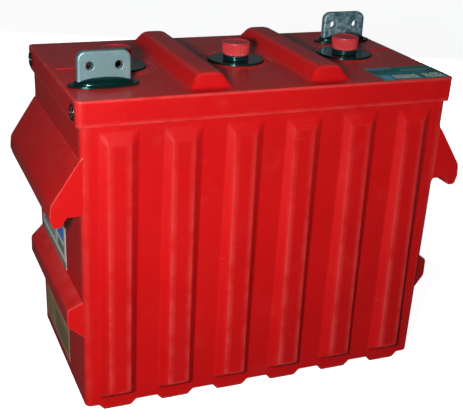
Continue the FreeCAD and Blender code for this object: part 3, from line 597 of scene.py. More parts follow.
def buildCase():
    # The tub: a slab whose floor is low inside and whose profile runs up the inner wall, over the rim
    # and down the outer wall. The outer wall is pushed out to the ribs and the bottom down to the feet.
    look = inMetres(caseLook, "ribCount", "ribSoft")
    rimZ = caseHigh[2]
    skirtZ = rimZ - look["skirtDrop"]
    footZ = look["footHeight"]
    floorZ = footZ + look["floorThickness"]
    topU, topV = gasketHigh[:2]
    faceV = -coverLow[1] - look["ribFaceInset"]
    ribs = (np.arange(look["ribCount"]) - (look["ribCount"] - 1) / 2) * look["ribPitch"]

    def halfAt(z):
        # Half the length and width at a height: full above the skirt line, less by the draft below.
        down = np.clip((skirtZ - z) / (skirtZ - footZ), 0, 1)
        return topU - look["endDraft"] * down, topV - look["sideDraft"] * down

    def ribRise(x, z):
        # How far up its four slopes a point of the wall is, from 0 at the foot line to 1 on the face.
        nearest = np.min(np.abs(x[..., None] - ribs), -1)
        side = (look["ribBase"] / 2 - nearest) / ((look["ribBase"] - look["ribFace"]) / 2)
        top = (skirtZ - look["ribTopDrop"] - z) / look["ribTopBevel"]
        bottom = (z - look["ribBottom"]) / look["ribBottomBevel"]
        slope = softMin(softMin(side, top, 0.07), bottom, 0.13)
        return softStep(slope, look["ribSoft"])

    def footDepth(x, y):
        # How far the bottom hangs down: the foot height under each rib, with sloped sides and ends.
        nearest = np.min(np.abs(x[..., None] - ribs), -1)
        side = (look["footTop"] / 2 - nearest) / ((look["footTop"] - look["footSole"]) / 2)
        endV = halfAt(footZ)[1] - look["footEndInset"]
        end = (endV - np.abs(y)) / look["footEndBevel"]
        return footZ * softStep(softMin(side, end, 0.08), 0.06)

    def push(u, v, z, du, dv, inset):
        # Moves the outer wall out by the rib's rise and the unevenness, and its foot down by the feet.
        outside = inset < look["wall"] * 0.5
        if not np.any(outside):
            return u, v, z
        rise = ribRise(u, z) * (np.abs(dv) > 0.999)
        z = z.copy()
        v = v + np.sign(dv) * rise * (faceV - np.abs(v)) * (inset == 0)
        along = np.where(np.abs(dv) > 0.5, u, v)
        uneven = look["unevenness"] * wander(along, z, 5, 0.16)
        calm = ramp(z, footZ, footZ + 0.02) * ramp(-z, -skirtZ, -skirtZ + 0.02) * (inset == 0)
        u = u + du * uneven * calm
        v = v + dv * uneven * calm * (1 - rise)
        below = (footZ + rounding - z) / rounding
        z = z - footDepth(u, v) * np.interp(below, (0, 0.04, 1), (0, 0.85, 1))
        return u, v, z

    ribX = np.concatenate([-look["ribLines"], look["ribLines"][1:]])
    ribX = (ribs[:, None] + ribX).reshape(-1)
    floorU, floorV = halfAt(floorZ)
    fineU, fineV, endY = floorU - fineInsets, floorV - fineInsets, look["footEndLines"]
    us = lines(gridInset - floorU, floorU - gridInset, 9 * mm, ribX, fineU, -fineU)
    vs = lines(gridInset - floorV, floorV - gridInset, 7 * mm, fineV, -fineV, endY, -endY)
    wall, bevel, rounding = look["wall"], look["rimRound"], look["bottomRound"]
    gripTop, gripBottom = skirtZ - look["gripTop"], skirtZ - look["gripBottom"]

    def cornerAt(z):
        # The corner's radius at a height: small where the grips run into it.
        gripped = ramp(z, gripBottom - 6 * mm, gripBottom + 2 * mm)
        gripped = gripped * ramp(-z, -gripTop - 4 * mm, 2 * mm - gripTop)
        return look["corner"] + (look["grippedCorner"] - look["corner"]) * gripped

    profile = [(wall + 1 * mm, floorZ), (wall, floorZ + 1 * mm), (wall, skirtZ), (wall, rimZ - bevel),
               (wall - 0.3 * bevel, rimZ - 0.3 * bevel), (wall - bevel, rimZ),
               (bevel, rimZ), (0.3 * bevel, rimZ - 0.3 * bevel), (0, rimZ - bevel)]
    heights = np.concatenate([
        np.linspace(rimZ - 2 * bevel, skirtZ, 4), skirtZ - look["dropLines"],
        skirtZ - np.arange(54, 108, 12) * mm, skirtZ - np.arange(130, 352, 12) * mm,
        look["heightLines"], [footZ + rounding]])
    profile += [(0.0, z, cornerAt(z)) for z in np.unique(np.round(heights, 7))[::-1]]
    profile += [(0.0, footZ + rounding * (1 - low)) for low in (0.01, 0.02, 0.03, 0.04)]
    profile += [(rounding * (1 - math.cos(turn)), footZ + rounding * (1 - math.sin(turn)))
                for turn in np.linspace(0.2, 1, 5) * math.pi / 2]
    points, faces = slab(us, vs, halfAt, look["corner"], profile,
                         lambda u, v: np.full(u.shape, floorZ),
                         lambda u, v: footZ - footDepth(u, v), push=push)
    shell = makePiece("caseShell", points, faces, redCase, "battery", 50)
    evenNormals(markEdgeSheen(shell))
    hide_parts("outer_case")
    return halfAt, skirtZ


gripLook = {
    "topDrop": 39.0, "noseDrop": 93.0, "rootDrop": 110.0, "lipDrop": 122.0, "noseShort": 1.5,
    "tipShort": 3.5, "lipWidth": 10.0, "hookReach": 16.0, "embed": 3.0,
    "rounds": (0, 6, 15, 5, 4.5, 4, 2.5, 0), "edge": 1.2, "unevenness": 0.25,
    "unevenFull": 115.0, "unevenGone": 132.0}
ledgeLook = {
    "topZ": 161.0, "faceTopZ": 148.0, "faceBottomZ": 124.0, "bottomZ": 112.0, "reach": 15.5, "endInset": 4.0,
    "endSlope": 7.0, "rounds": (0, 3, 7, 6, 3, 0), "edge": 1.8}


def endBars(halfAt, skirtZ):
    # Hooked grip and low ledge, each an outline carried across the end wall.
    grip, ledge = inMetres(gripLook), inMetres(ledgeLook)
    tip, top = caseHigh[0], gasketHigh[0]

    def wallX(z):
        # Where the end wall stands at a height.
        return halfAt(z)[0]

    gripTop, nose = skirtZ - grip["topDrop"], skirtZ - grip["noseDrop"]
    root, lip = skirtZ - grip["rootDrop"], skirtZ - grip["lipDrop"]
    lipX = tip - grip["tipShort"]
    rootX = wallX(root) - grip["embed"]
    gripCorners = [(rootX, gripTop), (wallX(gripTop), gripTop), (tip - grip["noseShort"], nose),
                   (tip, root), (lipX, lip), (lipX - grip["lipWidth"], lip),
                   (top + grip["hookReach"], root), (rootX, root)]
    gripOutline = roundedOutline(gripCorners, grip["rounds"], 9)
    ledgeX, insideX = top + ledge["reach"], wallX(0) - grip["embed"]
    high, low = ledge["topZ"], ledge["bottomZ"]
    ledgeCorners = [(insideX, high), (wallX(high), high), (ledgeX, ledge["faceTopZ"]),
                    (ledgeX, ledge["faceBottomZ"]), (wallX(low), low), (insideX, low)]
    ledgeOutline = roundedOutline(ledgeCorners, ledge["rounds"], 9)
    ledgeEnd = halfAt(low)[1] - ledge["endInset"]

    def gripEnd(x, z):
        # The grip's ends are flush with the long sides.
        return halfAt(z)[1] + 0.03 * mm

    def ledgeStop(x, z):
        # The ledge's ends lean inwards with the distance from the wall.
        away = (x - wallX(ledge["faceBottomZ"])) / ledge["reach"]
        return ledgeEnd - np.clip(away, 0, 1.2) * ledge["endSlope"]

    for side, word in ((-1, "Left"), (1, "Right")):
        for outline, stop, kind, edge in ((gripOutline, gripEnd, "endGrip", grip["edge"]),
                                          (ledgeOutline, ledgeStop, "endLedge", ledge["edge"])):
            points, faces = carriedBar(outline, stop, edge, 24)
            # Only what stands out from the wall is uneven, and not its ends.
            calm = ramp(-np.abs(points[:, 1]), -grip["unevenGone"], -grip["unevenFull"])
            calm = calm * ramp(points[:, 0], top + 1 * mm, top + 6 * mm)
            points[:, 0] += grip["unevenness"] * wander(points[:, 1], points[:, 2], 11, 0.12) * calm
            points[:, 0] *= side
            bar = makePiece(kind + word, points, faces, redCase, "battery", 50)
            evenNormals(markEdgeSheen(bar))


halfAt, skirtZ = buildCase()
endBars(halfAt, skirtZ)
print("case built")


coverLook = {
    "corner": 8.0, "edgeRound": 2.0, "plate": 6.0, "skirtTaper": 1.0, "skirtInset": 4.1,
    "ridgePitch": 158.0, "ridgeBase": 54.0, "ridgeTop": 31.0, "ridgeHeight": 18.0,
    "ridgeEnd": 17.0, "ridgeEndSlope": 10.0, "ridgeWall": 4.0, "ridgeSoft": 0.16,
    "ventRadius": 37.75, "lipWidth": 2.4, "lipRise": 0.9,
    "grooveOuter": 47.0, "grooveInner": 45.2, "grooveDepth": 0.7,
    "ovalHalfLength": 38.0, "ovalHalfWidth": 14.0, "unevenness": 0.22,
    "ridgeLines": (0, 5, 10, 13.6, 14.6, 15.1, 15.5, 15.9, 16.5, 18, 20, 22, 24, 25.4, 26.2, 26.7, 27.1,
                   27.6, 28.6),
    "endLines": (113, 114.6, 115.3, 115.8, 116.2, 116.8, 118, 120, 122, 124, 125, 125.6, 126.1, 126.6,
                 127.6, 130)}
markLook = {"length": 24.0, "width": 4.0, "rise": 1.0, "corner": 1.2, "edge": 0.6, "gridInset": 0.9,
            "placeX": 227.0, "shiftLeft": 2.0, "shiftRight": 15.0}


def buildCover():
    # The cover: a slab whose top and underside rise to two ridges, with a thin skirt as its profile.
    look = inMetres(coverLook, "ridgeSoft")
    topZ = nodeBox("cover_ridge_left")[1][2] - look["ridgeHeight"]
    underZ = topZ - look["plate"]
    bottomZ = nodeBox("cover_skirt")[0][2]
    halfX, halfY = coverHigh[0], coverHigh[1]
    centres = np.array([-0.5, 0.5]) * look["ridgePitch"]

    def ridge(x, y, inset, height):
        # A height that climbs the nearer of the side slope and the end slope, rounded at foot and crest.
        halfBase, halfTop = look["ridgeBase"] / 2 - inset, look["ridgeTop"] / 2 - inset
        nearest = np.min(np.abs(x[..., None] - centres), -1)
        side = (halfBase - nearest) / (halfBase - halfTop)
        end = (halfY - look["ridgeEnd"] - inset - np.abs(y)) / look["ridgeEndSlope"]
        return height * softStep(softMin(side, end, 0.24), look["ridgeSoft"])

    def topAt(x, y):
        # The plate's top, with its unevenness and the ridges on it.
        uneven = look["unevenness"] * wander(x, y, 3, 0.14)
        return topZ + uneven + ridge(x, y, 0, look["ridgeHeight"])

    def underAt(x, y):
        # The plate's underside, which rises into each ridge and leaves its wall.
        deep = look["ridgeHeight"] + look["plate"] - look["ridgeWall"]
        return underZ + ridge(x, y, look["ridgeWall"], deep)

    def halfAt(z):
        # The cover is as long and wide at every height.
        return halfX, halfY

    radius = look["edgeRound"]
    profile = [(radius * 1.5, topZ)]
    profile += [(radius * (1 - math.sin(t)), topZ - radius * (1 - math.cos(t)))
                for t in np.linspace(0, math.pi / 2, 7)]
    for z in np.linspace(topZ - 4 * mm, bottomZ + 1 * mm, 7):
        profile.append((look["skirtTaper"] * np.clip((underZ - z) / (underZ - bottomZ), 0, 1), z))
    taper, inset = look["skirtTaper"], look["skirtInset"]
    profile += [(taper + 0.1 * mm, bottomZ + 0.4 * mm), (taper + 0.35 * mm, bottomZ + 0.1 * mm),
                (taper + 0.8 * mm, bottomZ), (inset - 0.5 * mm, bottomZ), (inset, bottomZ + 0.5 * mm),
                (inset, underZ - 1.5 * mm), (inset + 0.4 * mm, underZ - 0.4 * mm), (inset + 1.5 * mm, underZ)]
    across, ends = look["ridgeLines"], look["endLines"]
    across = (centres[:, None] + np.concatenate([-across, across[1:]])).reshape(-1)
    fineX, fineY = halfX - fineInsets, halfY - fineInsets
    us = lines(gridInset - halfX, halfX - gridInset, 5 * mm, across, fineX, -fineX)
    vs = lines(gridInset - halfY, halfY - gridInset, 5 * mm, ends, -ends, fineY, -fineY)
    hole = look["ventRadius"]
    groove, inner, lip = look["grooveOuter"] - hole, look["grooveInner"] - hole, look["lipWidth"]
    deep, rise = look["grooveDepth"], look["lipRise"]
    ventProfile = [(groove + 0.5 * mm, topZ), (groove, topZ - 0.15 * mm),
                   (groove - 0.3 * mm, topZ - deep * 0.8), (groove - 0.6 * mm, topZ - deep),
                   (inner + 0.6 * mm, topZ - deep), (inner + 0.3 * mm, topZ - deep * 0.8),
                   (inner, topZ - 0.15 * mm), (inner - 0.5 * mm, topZ), (lip + 2.0 * mm, topZ),
                   (lip + 0.8 * mm, topZ + rise * 0.12), (lip, topZ + rise * 0.55),
                   (lip - 0.6 * mm, topZ + rise * 0.9), (lip - 1.1 * mm, topZ + rise),
                   (0.7 * mm, topZ + rise * 0.98), (0.2 * mm, topZ + rise * 0.75), (0.0, topZ + rise * 0.2),
                   (0.0, underZ + 0.5 * mm), (0.5 * mm, underZ)]
    ovalProfile = [(0.6 * mm, topZ), (0.1 * mm, topZ - 0.2 * mm), (0, topZ - 0.6 * mm),
                   (0, underZ + 0.5 * mm), (0.5 * mm, underZ)]
    holes = [{"u": place * layout["ventPitch"], "v": 0.0, "a": hole, "b": hole, "profile": ventProfile}
             for place in (-1, 0, 1)]
    holes += [{"u": side * layout["terminalX"], "v": side * layout["terminalY"], "a": look["ovalHalfLength"],
               "b": look["ovalHalfWidth"], "profile": ovalProfile} for side in (-1, 1)]
    points, faces = slab(us, vs, halfAt, look["corner"], profile, topAt, underAt, holes)
    piece = makePiece("coverShell", points, faces, redCase, "cover", 50)
    evenNormals(markEdgeSheen(piece))
    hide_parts("cover", "cover_skirt", "cover_ridge_left", "cover_ridge_right")
    return topZ


def buildMark(word, side):
    # A small raised bar near the cover's end, a rounded slab that starts under the plate's skin.
    look = inMetres(markLook)
    halfU, halfV, crown = look["length"] / 2, look["width"] / 2, coverTopZ + look["rise"]
    endU, endV, cornerU = halfU - look["gridInset"], halfV - look["gridInset"], halfU - look["corner"]
    markUs = lines(-endU, endU, 2 * mm, np.array([-cornerU, cornerU]))
    markVs = lines(-endV, endV, 0.5 * mm)
    edge = [(look["edge"] * (1 - math.sin(t)), crown - look["edge"] * (1 - math.cos(t)))
            for t in np.linspace(0, math.pi / 2, 5)]
    edge += [(0, coverTopZ + 0.1 * mm), (-0.3 * mm, coverTopZ - 0.2 * mm), (0.3 * mm, coverTopZ - 0.5 * mm)]
    points, faces = slab(markUs, markVs, lambda z: (halfU, halfV), look["corner"], edge,
                         lambda u, v: np.full(u.shape, crown),
                         lambda u, v: np.full(u.shape, coverTopZ - 0.5 * mm))
    points = points + np.array([side * look["placeX"], look["shift" + word], 0])
    mark = makePiece("coverMark" + word, points, faces, redCase, "cover", 50)
    evenNormals(mark)


coverTopZ = buildCover()
buildMark("Left", -1)
buildMark("Right", 1)


plugLook = {"radius": 10.0, "shank": 7.5, "dish": 1.0, "depth": 4.2}


def buildPlugs():
    # Round plug heads with dished faces and a raised rim on the skirt ends, each on a shank.
    look = inMetres(plugLook)
    low, high = nodeBox("cover_plugs")
    radius, thick, dish = look["radius"], high[0] - coverHigh[0], look["dish"]
    y, z = high[1] - radius, (low[2] + high[2]) / 2
    profile = np.array([(0, -dish), (radius * 0.5, -dish), (radius * 0.68, -0.9 * dish),
                        (radius * 0.74, -0.4 * dish), (radius * 0.77, thick * 0.75),
                        (radius * 0.82, thick * 0.96), (radius * 0.88, thick), (radius * 0.94, thick * 0.92),
                        (radius * 0.985, thick * 0.6), (radius, thick * 0.1), (radius * 0.98, -0.05 * mm),
                        (look["shank"], -0.05 * mm), (look["shank"], -look["depth"]), (0, -look["depth"])])
    points, faces = lathe(profile, (0, 0), 48)
    everyPoint, everyFace, start = [], [], 0
    for side in (-1, 1):
        for end in (-1, 1):
            out = side * (coverHigh[0] + points[:, 2])
            everyPoint.append(np.stack([out, end * y + points[:, 1], z + points[:, 0]], -1))
            everyFace.append(faces[0] + start)
            start += len(points)
    piece = makePiece("coverPlugHeads", np.concatenate(everyPoint), everyFace, blackGloss, "cover", 35)
    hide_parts("cover_plugs")


buildPlugs()
print("cover built")


ventLook = {
    "towerRadius": 36.75, "towerWall": 4.0, "towerRound": 1.5, "neckRadius": 17.0, "neckBore": 14.0,
    "capRadius": 18.7, "capFoot": 17.7, "capFlutes": 40, "fluteDepth": 0.7, "dishRadius": 14.2,
    "dishDepth": 1.6, "tubeRadius": 8.0, "tubeWall": 2.0, "hollowHeight": 10.5, "shoulder": 1.4}


def buildVent(number, x):
    # The black tower with its neck, and the fluted cap with its tube, each a closed profile spun round.
    towerLow, towerHigh = nodeBox("vent_tower_" + number)
    neckTop = nodeBox("filler_neck_" + number)[1][2]
    capTop, tubeFoot = nodeBox("vent_cap_" + number)[1][2], nodeBox("cap_tube_" + number)[0][2]
    sealTop = nodeBox("cap_seal_" + number)[1][2]
    look = inMetres(ventLook, "capFlutes")
    outer, top, bottom = look["towerRadius"], towerHigh[2], towerLow[2]
    rounding, wall = look["towerRound"], look["towerWall"]
    hollow, neck, bore = outer - wall, look["neckRadius"], look["neckBore"]
    profile = [(outer, bottom), (outer, top - rounding - 8 * mm), (outer, top - rounding)]
    profile += [(outer - rounding * (1 - math.cos(t)), top - rounding * (1 - math.sin(t)))
                for t in np.linspace(0.25, math.pi / 2, 6)]
    profile += [(outer - 3 * mm, top + 0.02 * mm), (outer - 6 * mm, top + 0.05 * mm),
                (neck + 5 * mm, top - 0.25 * mm), (neck + 1.2 * mm, top - 0.1 * mm),
                (neck + 0.4 * mm, top + 0.25 * mm), (neck, top + 1 * mm), (neck, neckTop - 0.6 * mm),
                (neck - 0.2 * mm, neckTop - 0.15 * mm), (neck - 0.6 * mm, neckTop),
                (bore + 0.5 * mm, neckTop), (bore, neckTop - 0.5 * mm), (bore, top - wall),
                (hollow - 2 * mm, top - wall), (hollow - 0.6 * mm, top - wall - 0.6 * mm),
                (hollow, top - wall - 2 * mm), (hollow, bottom)]
    points, faces = closedLathe(np.array(profile), (x, 0), 144)
    tower = makePiece("ventTower" + number, points, faces, blackGloss, "battery", 35)
    evenNormals(tower)
    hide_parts("vent_tower_" + number, "filler_neck_" + number)

    radius, base, crown = look["capRadius"], sealTop, capTop
    tube, roof, shoulder = look["tubeRadius"], base + look["hollowHeight"], look["shoulder"]
    tubeHollow = tube - look["tubeWall"]
    profile = [(0, roof), (tubeHollow, roof), (tubeHollow, tubeFoot), (tube, tubeFoot), (tube, base),
               (radius - 1.2 * mm, base), (radius - 0.5 * mm, base + 0.1 * mm),
               (radius - 0.1 * mm, base + 0.6 * mm), (radius, base + 1.2 * mm), (radius, base + 2.0 * mm)]
    profile += [(radius, z) for z in np.linspace(base + 3 * mm, crown - 4 * mm, 7)]
    profile += [(radius, crown - 3.2 * mm), (radius, crown - 2.6 * mm), (radius, crown - 1.6 * mm)]
    profile += [(radius - shoulder * (1 - math.cos(t)), crown - shoulder * (1 - math.sin(t)))
                for t in np.linspace(0.2, math.pi / 2, 6)]
    dish, deep = look["dishRadius"], look["dishDepth"]
    profile += [(dish + 1.6 * mm, crown), (dish + 0.8 * mm, crown - 0.15 * mm), (dish, crown - deep * 0.5),
                (dish - 0.7 * mm, crown - deep * 0.85), (dish - 1.8 * mm, crown - deep),
                (dish * 0.6, crown - deep * 1.05), (dish * 0.3, crown - deep * 1.0), (0, crown - deep)]

    def flutes(r, z, angle):
        # Rounded grooves round the side that fade out below the shoulder and above the foot, on a
        # side that leans in towards the foot.
        strength = ramp(z, base + 1.2 * mm, base + 2.6 * mm) * ramp(-z, 1.8 * mm - crown, 3.4 * mm - crown)
        outerOnly = (r > radius - 0.3 * mm)
        lean = (radius - look["capFoot"]) * ramp(-z, 2.5 * mm - crown, -(base + 1 * mm)) * (r > tube + 2 * mm)
        wave = np.abs(np.sin(angle * look["capFlutes"] / 2)) ** 0.6
        return r - look["fluteDepth"] * (1 - wave) * strength * outerOnly - lean

    points, faces = lathe(np.array(profile), (x, 0), look["capFlutes"] * 10, flutes)
    cap = makePiece("ventCap" + number, points, faces, redCap, "cap_" + number, 35)
    # Only the cap's sharpest edges get the painted highlight.
    markEdgeSheen(cap, 300.0, 1500.0)
    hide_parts("vent_cap_" + number, "cap_tube_" + number)


for place in (-1, 0, 1):
    buildVent(str(place + 2), place * layout["ventPitch"])
print("vents built")


flagLook = {
    "width": 64.5, "thickness": 10.0, "footDrop": 16.0, "corner": 10.5, "bevel": 1.9, "holeRadius": 5.0,
    "holeSpacing": 35.5, "holeDrop": 17.5, "unevenness": 0.25, "postRadius": 15.0, "postRise": 6.0,
    "gridStep": 1.6, "gridInset": 2.6, "fineInsets": (0, 0.5, 1.1, 1.8)}
bootLook = {
    "flangeX": 43.5, "flangeY": 18.5, "flangeZ": 2.5, "domeX": 36.5, "domeY": 15.5, "domeZ": 9.5,
    "slotX": 32.85, "slotY": 5.6, "plugX": 37.6, "plugY": 13.6}


def buildFlag(word, side, material):
    # The flag is a slab stood upright with two holes. The post under it is a separate spun piece.
    look = inMetres(flagLook)
    low, high = nodeBox("terminal_flag_" + word)
    footZ, topZ = coverTopZ - look["footDrop"], high[2]
    midX, midY, midZ = side * layout["terminalX"], side * layout["terminalY"], (footZ + topZ) / 2
    halfX, halfZ, thick = look["width"] / 2, (topZ - footZ) / 2, look["thickness"] / 2
    bevel, corner, step = look["bevel"], look["corner"], look["gridStep"]
    gridEdge, fine = corner - look["gridInset"], corner - look["fineInsets"]
    us = lines(gridEdge - halfX, halfX - gridEdge, step, halfX - fine, fine - halfX)
    vs = lines(gridEdge - halfZ, halfZ - gridEdge, step, halfZ - fine, fine - halfZ)
    profile = [(bevel + 1.2 * mm, thick), (bevel + 0.25 * mm, thick), (bevel - 0.05 * mm, thick - 0.08 * mm),
               (bevel * 0.75, thick - 0.3 * mm), (bevel * 0.4, thick - 0.62 * mm),
               (bevel * 0.14, thick - 1.0 * mm), (0, thick - 1.6 * mm), (0, thick * 0.3)]
    profile += [(inset, -height) for inset, height in profile[::-1]]
    hole = [(1.2 * mm, thick), (0.6 * mm, thick - 0.05 * mm), (0.2 * mm, thick - 0.25 * mm),
            (0.0, thick - 0.8 * mm)]
    hole += [(outset, -height) for outset, height in hole[::-1]]
    holes = [{"u": way * look["holeSpacing"] / 2, "v": halfZ - look["holeDrop"], "a": look["holeRadius"],
              "b": look["holeRadius"], "profile": hole, "margin": 0.5 * mm} for way in (-1, 1)]

    def faceAt(u, v):
        # The cast front face is a little wavy.
        return thick + look["unevenness"] * 0.5 * wander(u, v, 21 + side, 0.03)

    points, faces = slab(us, vs, lambda z: (halfX, halfZ), look["corner"], profile, faceAt,
                         lambda u, v: -thick + 0 * u, holes)
    # The plate's own height becomes -Y, so its front face looks at -Y.
    points = np.stack([midX + points[:, 0], midY - points[:, 2], midZ + points[:, 1]], -1)
    flag = makePiece("terminalFlag" + word.capitalize(), points, faces, material, "battery", 45)
    evenNormals(flag)
    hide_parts("terminal_flag_" + word)
    radius, crown = look["postRadius"], footZ + look["postRise"]
    post = [(0, crown), (radius - 1 * mm, crown), (radius, crown - 2 * mm), (radius, low[2]), (0, low[2])]
    points, faces = lathe(np.array(post), (midX, midY), 64)
    piece = makePiece("terminalPost" + word.capitalize(), points, faces, material, "battery", 45)


def buildBoot(word, side):
    # Loops round the flag: slot wall, arched dome, oval flange, plug, and back to the slot.
    look = inMetres(bootLook)
    bottomZ = nodeBox("terminal_boot_" + word)[0][2]
    turn = np.linspace(0, 2 * math.pi, 192, endpoint=False)
    c, s = np.cos(turn), np.sin(turn)

    def oval(a, b, power=2.0):
        # An ellipse; a higher power squares it up.
        return a * np.sign(c) * np.abs(c) ** (2 / power), b * np.sign(s) * np.abs(s) ** (2 / power)

    flangeTop = coverTopZ + look["flangeZ"]

    def domeZ(x, y):
        # Half an ellipsoid on the flange.
        inside = 1 - (x / look["domeX"]) ** 2 - (y / look["domeY"]) ** 2
        return flangeTop + look["domeZ"] * np.sqrt(np.clip(inside, 0, 1))

    slotX, slotY = oval(look["slotX"], look["slotY"], 9.0)
    rimX, rimY = oval(look["domeX"], look["domeY"])
    loops = [(slotX, slotY, np.full(turn.shape, bottomZ)), (slotX, slotY, np.full(turn.shape, coverTopZ)),
             (slotX, slotY, domeZ(slotX, slotY) - 0.7 * mm)]
    for part in (0.02, 0.05, 0.12, 0.22, 0.34, 0.46, 0.58, 0.69, 0.78, 0.86, 0.92, 0.96, 0.985, 1.0):
        x, y = slotX + (rimX - slotX) * part, slotY + (rimY - slotY) * part
        loops.append((x, y, domeZ(x, y) - (0.15 * mm if part == 0.02 else 0)))
    for grow, height in ((0.3, 0.0), (1.2, -0.1)):
        x, y = oval(look["domeX"] + grow * mm, look["domeY"] + grow * mm)
        loops.append((x, y, np.full(turn.shape, flangeTop + height * mm)))
    for inset, height in ((1.6, -0.12), (0.7, -0.2), (0.2, -0.5), (0.0, -1.0), (0.0, -2.0), (0.25, -2.45)):
        x, y = oval(look["flangeX"] - inset * mm, look["flangeY"] - inset * mm)
        loops.append((x, y, np.full(turn.shape, flangeTop + height * mm)))
    x, y = oval(look["plugX"], look["plugY"])
    loops.append((x, y, np.full(turn.shape, coverTopZ + 0.05 * mm)))
    loops.append((x, y, np.full(turn.shape, bottomZ)))
    loops.append(loops[0])
    points = np.stack([np.stack(loop, -1) for loop in loops]).reshape(-1, 3)
    points = points + np.array([side * layout["terminalX"], side * layout["terminalY"], 0])
    faces = [bandFaces(len(loops), len(turn))]
    boot = makePiece("terminalBoot" + word.capitalize(), points, faces, blackGloss, "cover", 40)
    evenNormals(boot)
    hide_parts("terminal_boot_" + word)


for word, side, material in (("left", -1, castLead), ("right", 1, agedLead)):
    buildFlag(word, side, material)
    buildBoot(word, side)
print("terminals built")


topLow, topHigh = nodeBox("top_label")
endLow, endHigh = nodeBox("end_label")
stickerLow, stickerHigh = nodeBox("end_sticker")


def share(low, high, a, b):
    # A place on a label from shares of its width and height.
    return (low[0] + (high[0] - low[0]) * a, low[1] + (high[1] - low[1]) * b)


def blocks(low, high, rows):
    # Rows of left, bottom, right, top, colour and sometimes mottle, placed on a label.
    return [{"from": share(low, high, *row[:2]), "to": share(low, high, *row[2:4]), "colour": row[4],
             "mottle": row[5] if len(row) > 5 else 0} for row in rows]


topLabel = labelFilm("tealLabelFilm", {
    "axes": (0, 1), "colour": (0.002, 0.22, 0.19), "colourTwo": (0.002, 0.16, 0.15), "soft": 0.0006,
    "wear": 0.15, "wearColour": (0.10, 0.26, 0.26), "rough": (0.34, 0.46), "specular": 0.22,
    "blocks": blocks(topLow, topHigh, [
        (0.00, 0.80, 0.40, 1.00, (0.08, 0.32, 0.42)), (0.20, 0.44, 0.80, 0.58, (0.02, 0.24, 0.36)),
        (0.02, 0.02, 0.18, 0.40, (0.10, 0.46, 0.78)), (0.20, 0.06, 0.58, 0.36, (0.75, 0.88, 0.84), 420.0),
        (0.66, 0.04, 0.95, 0.38, (0.72, 0.84, 0.78), 300.0), (0.46, 0.66, 0.92, 0.72, (0.30, 0.52, 0.52))])})
endLabel = labelFilm("paleLabelFilm", {
    "axes": (1, 2), "colour": (0.80, 0.95, 0.90), "colourTwo": (0.70, 0.90, 0.84), "soft": 0.0006,
    "wear": 0.2, "wearColour": (0.62, 0.72, 0.66), "rough": (0.25, 0.4), "specular": 0.5,
    "blocks": blocks(endLow[1:], endHigh[1:], [
        (0.0, 0.0, 1.0, 0.16, (0.10, 0.30, 0.20)), (0.06, 0.60, 0.34, 0.94, (0.05, 0.30, 0.85)),
        (0.42, 0.66, 0.94, 0.90, (0.70, 0.80, 0.74)), (0.42, 0.28, 0.94, 0.56, (0.16, 0.34, 0.26), 500.0),
        (0.06, 0.28, 0.34, 0.50, (0.10, 0.32, 0.24))])})
stickerFilm = labelFilm("tanStickerFilm", {
    "axes": (1, 2), "colour": (0.46, 0.32, 0.16), "colourTwo": (0.38, 0.26, 0.13), "soft": 0.0006,
    "wear": 0.3, "wearColour": (0.42, 0.32, 0.24), "rough": (0.5, 0.7), "specular": 0.4,
    "blocks": blocks(stickerLow[1:], stickerHigh[1:], [
        (0.05, 0.70, 0.95, 0.92, (0.60, 0.46, 0.28)), (0.05, 0.12, 0.60, 0.58, (0.22, 0.15, 0.08), 600.0)])})

nodeLooks = {
    "rim_gasket": sealRubber, "cell_spacers": foamBoard, "post_seals": sealRubber, "link_bolts": platedSteel,
    "link_washers": platedSteel, "link_nuts": platedSteel, "top_label": topLabel, "end_label": endLabel,
    "end_sticker": stickerFilm}
for number in ("1", "2", "3"):
    nodeLooks.update({
        "cell_jar_" + number: jarPlastic, "positive_plates_" + number: positivePaste,
        "negative_plates_" + number: negativePaste, "separators_" + number: separatorSheet,
        "plate_guard_" + number: separatorSheet, "cell_lid_" + number: blackGloss,
        "cap_seal_" + number: sealRubber, "positive_strap_" + number: castLead,
        "negative_strap_" + number: castLead})
for node, material in nodeLooks.items():
    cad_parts[node].data.materials.clear()
    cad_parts[node].data.materials.append(material)
print("inner parts painted")


studioLook = {
    "yaw": 22.51, "pitch": 22.62, "roll": 2.63, "camera": (-471.5, -1147.6, 725.6), "lens": 73.983,
    "sensor": 36.0, "exposure": 0.0, "worldColour": (0.80, 0.86, 0.90), "worldStrength": 0.06,
    "floorColour": (0.86, 0.86, 0.87), "floorColourTwo": (0.83, 0.83, 0.84), "floorGlow": 0.88,
    "floorSize": 12.0, "wallHeight": 9.0}
studioLights = [
    {"name": "keyLight", "place": (-0.56, -0.96, 0.67), "target": (0, 0, 0.25), "size": (0.12, 0.09),
     "power": 13.8, "colour": (1.0, 0.99, 0.98)},
    {"name": "backCard", "place": (1.25, 3.2, 1.75), "target": (0, 0, 0.4), "size": (4.0, 2.0),
     "power": 2.2, "colour": (0.82, 0.94, 1.0)},
    {"name": "rearFill", "place": (0.9, 1.7, 0.24), "target": (0, 0, 0.2), "size": (0.9, 0.3),
     "power": 16.0, "colour": (1.0, 0.99, 0.98), "matt": True}]


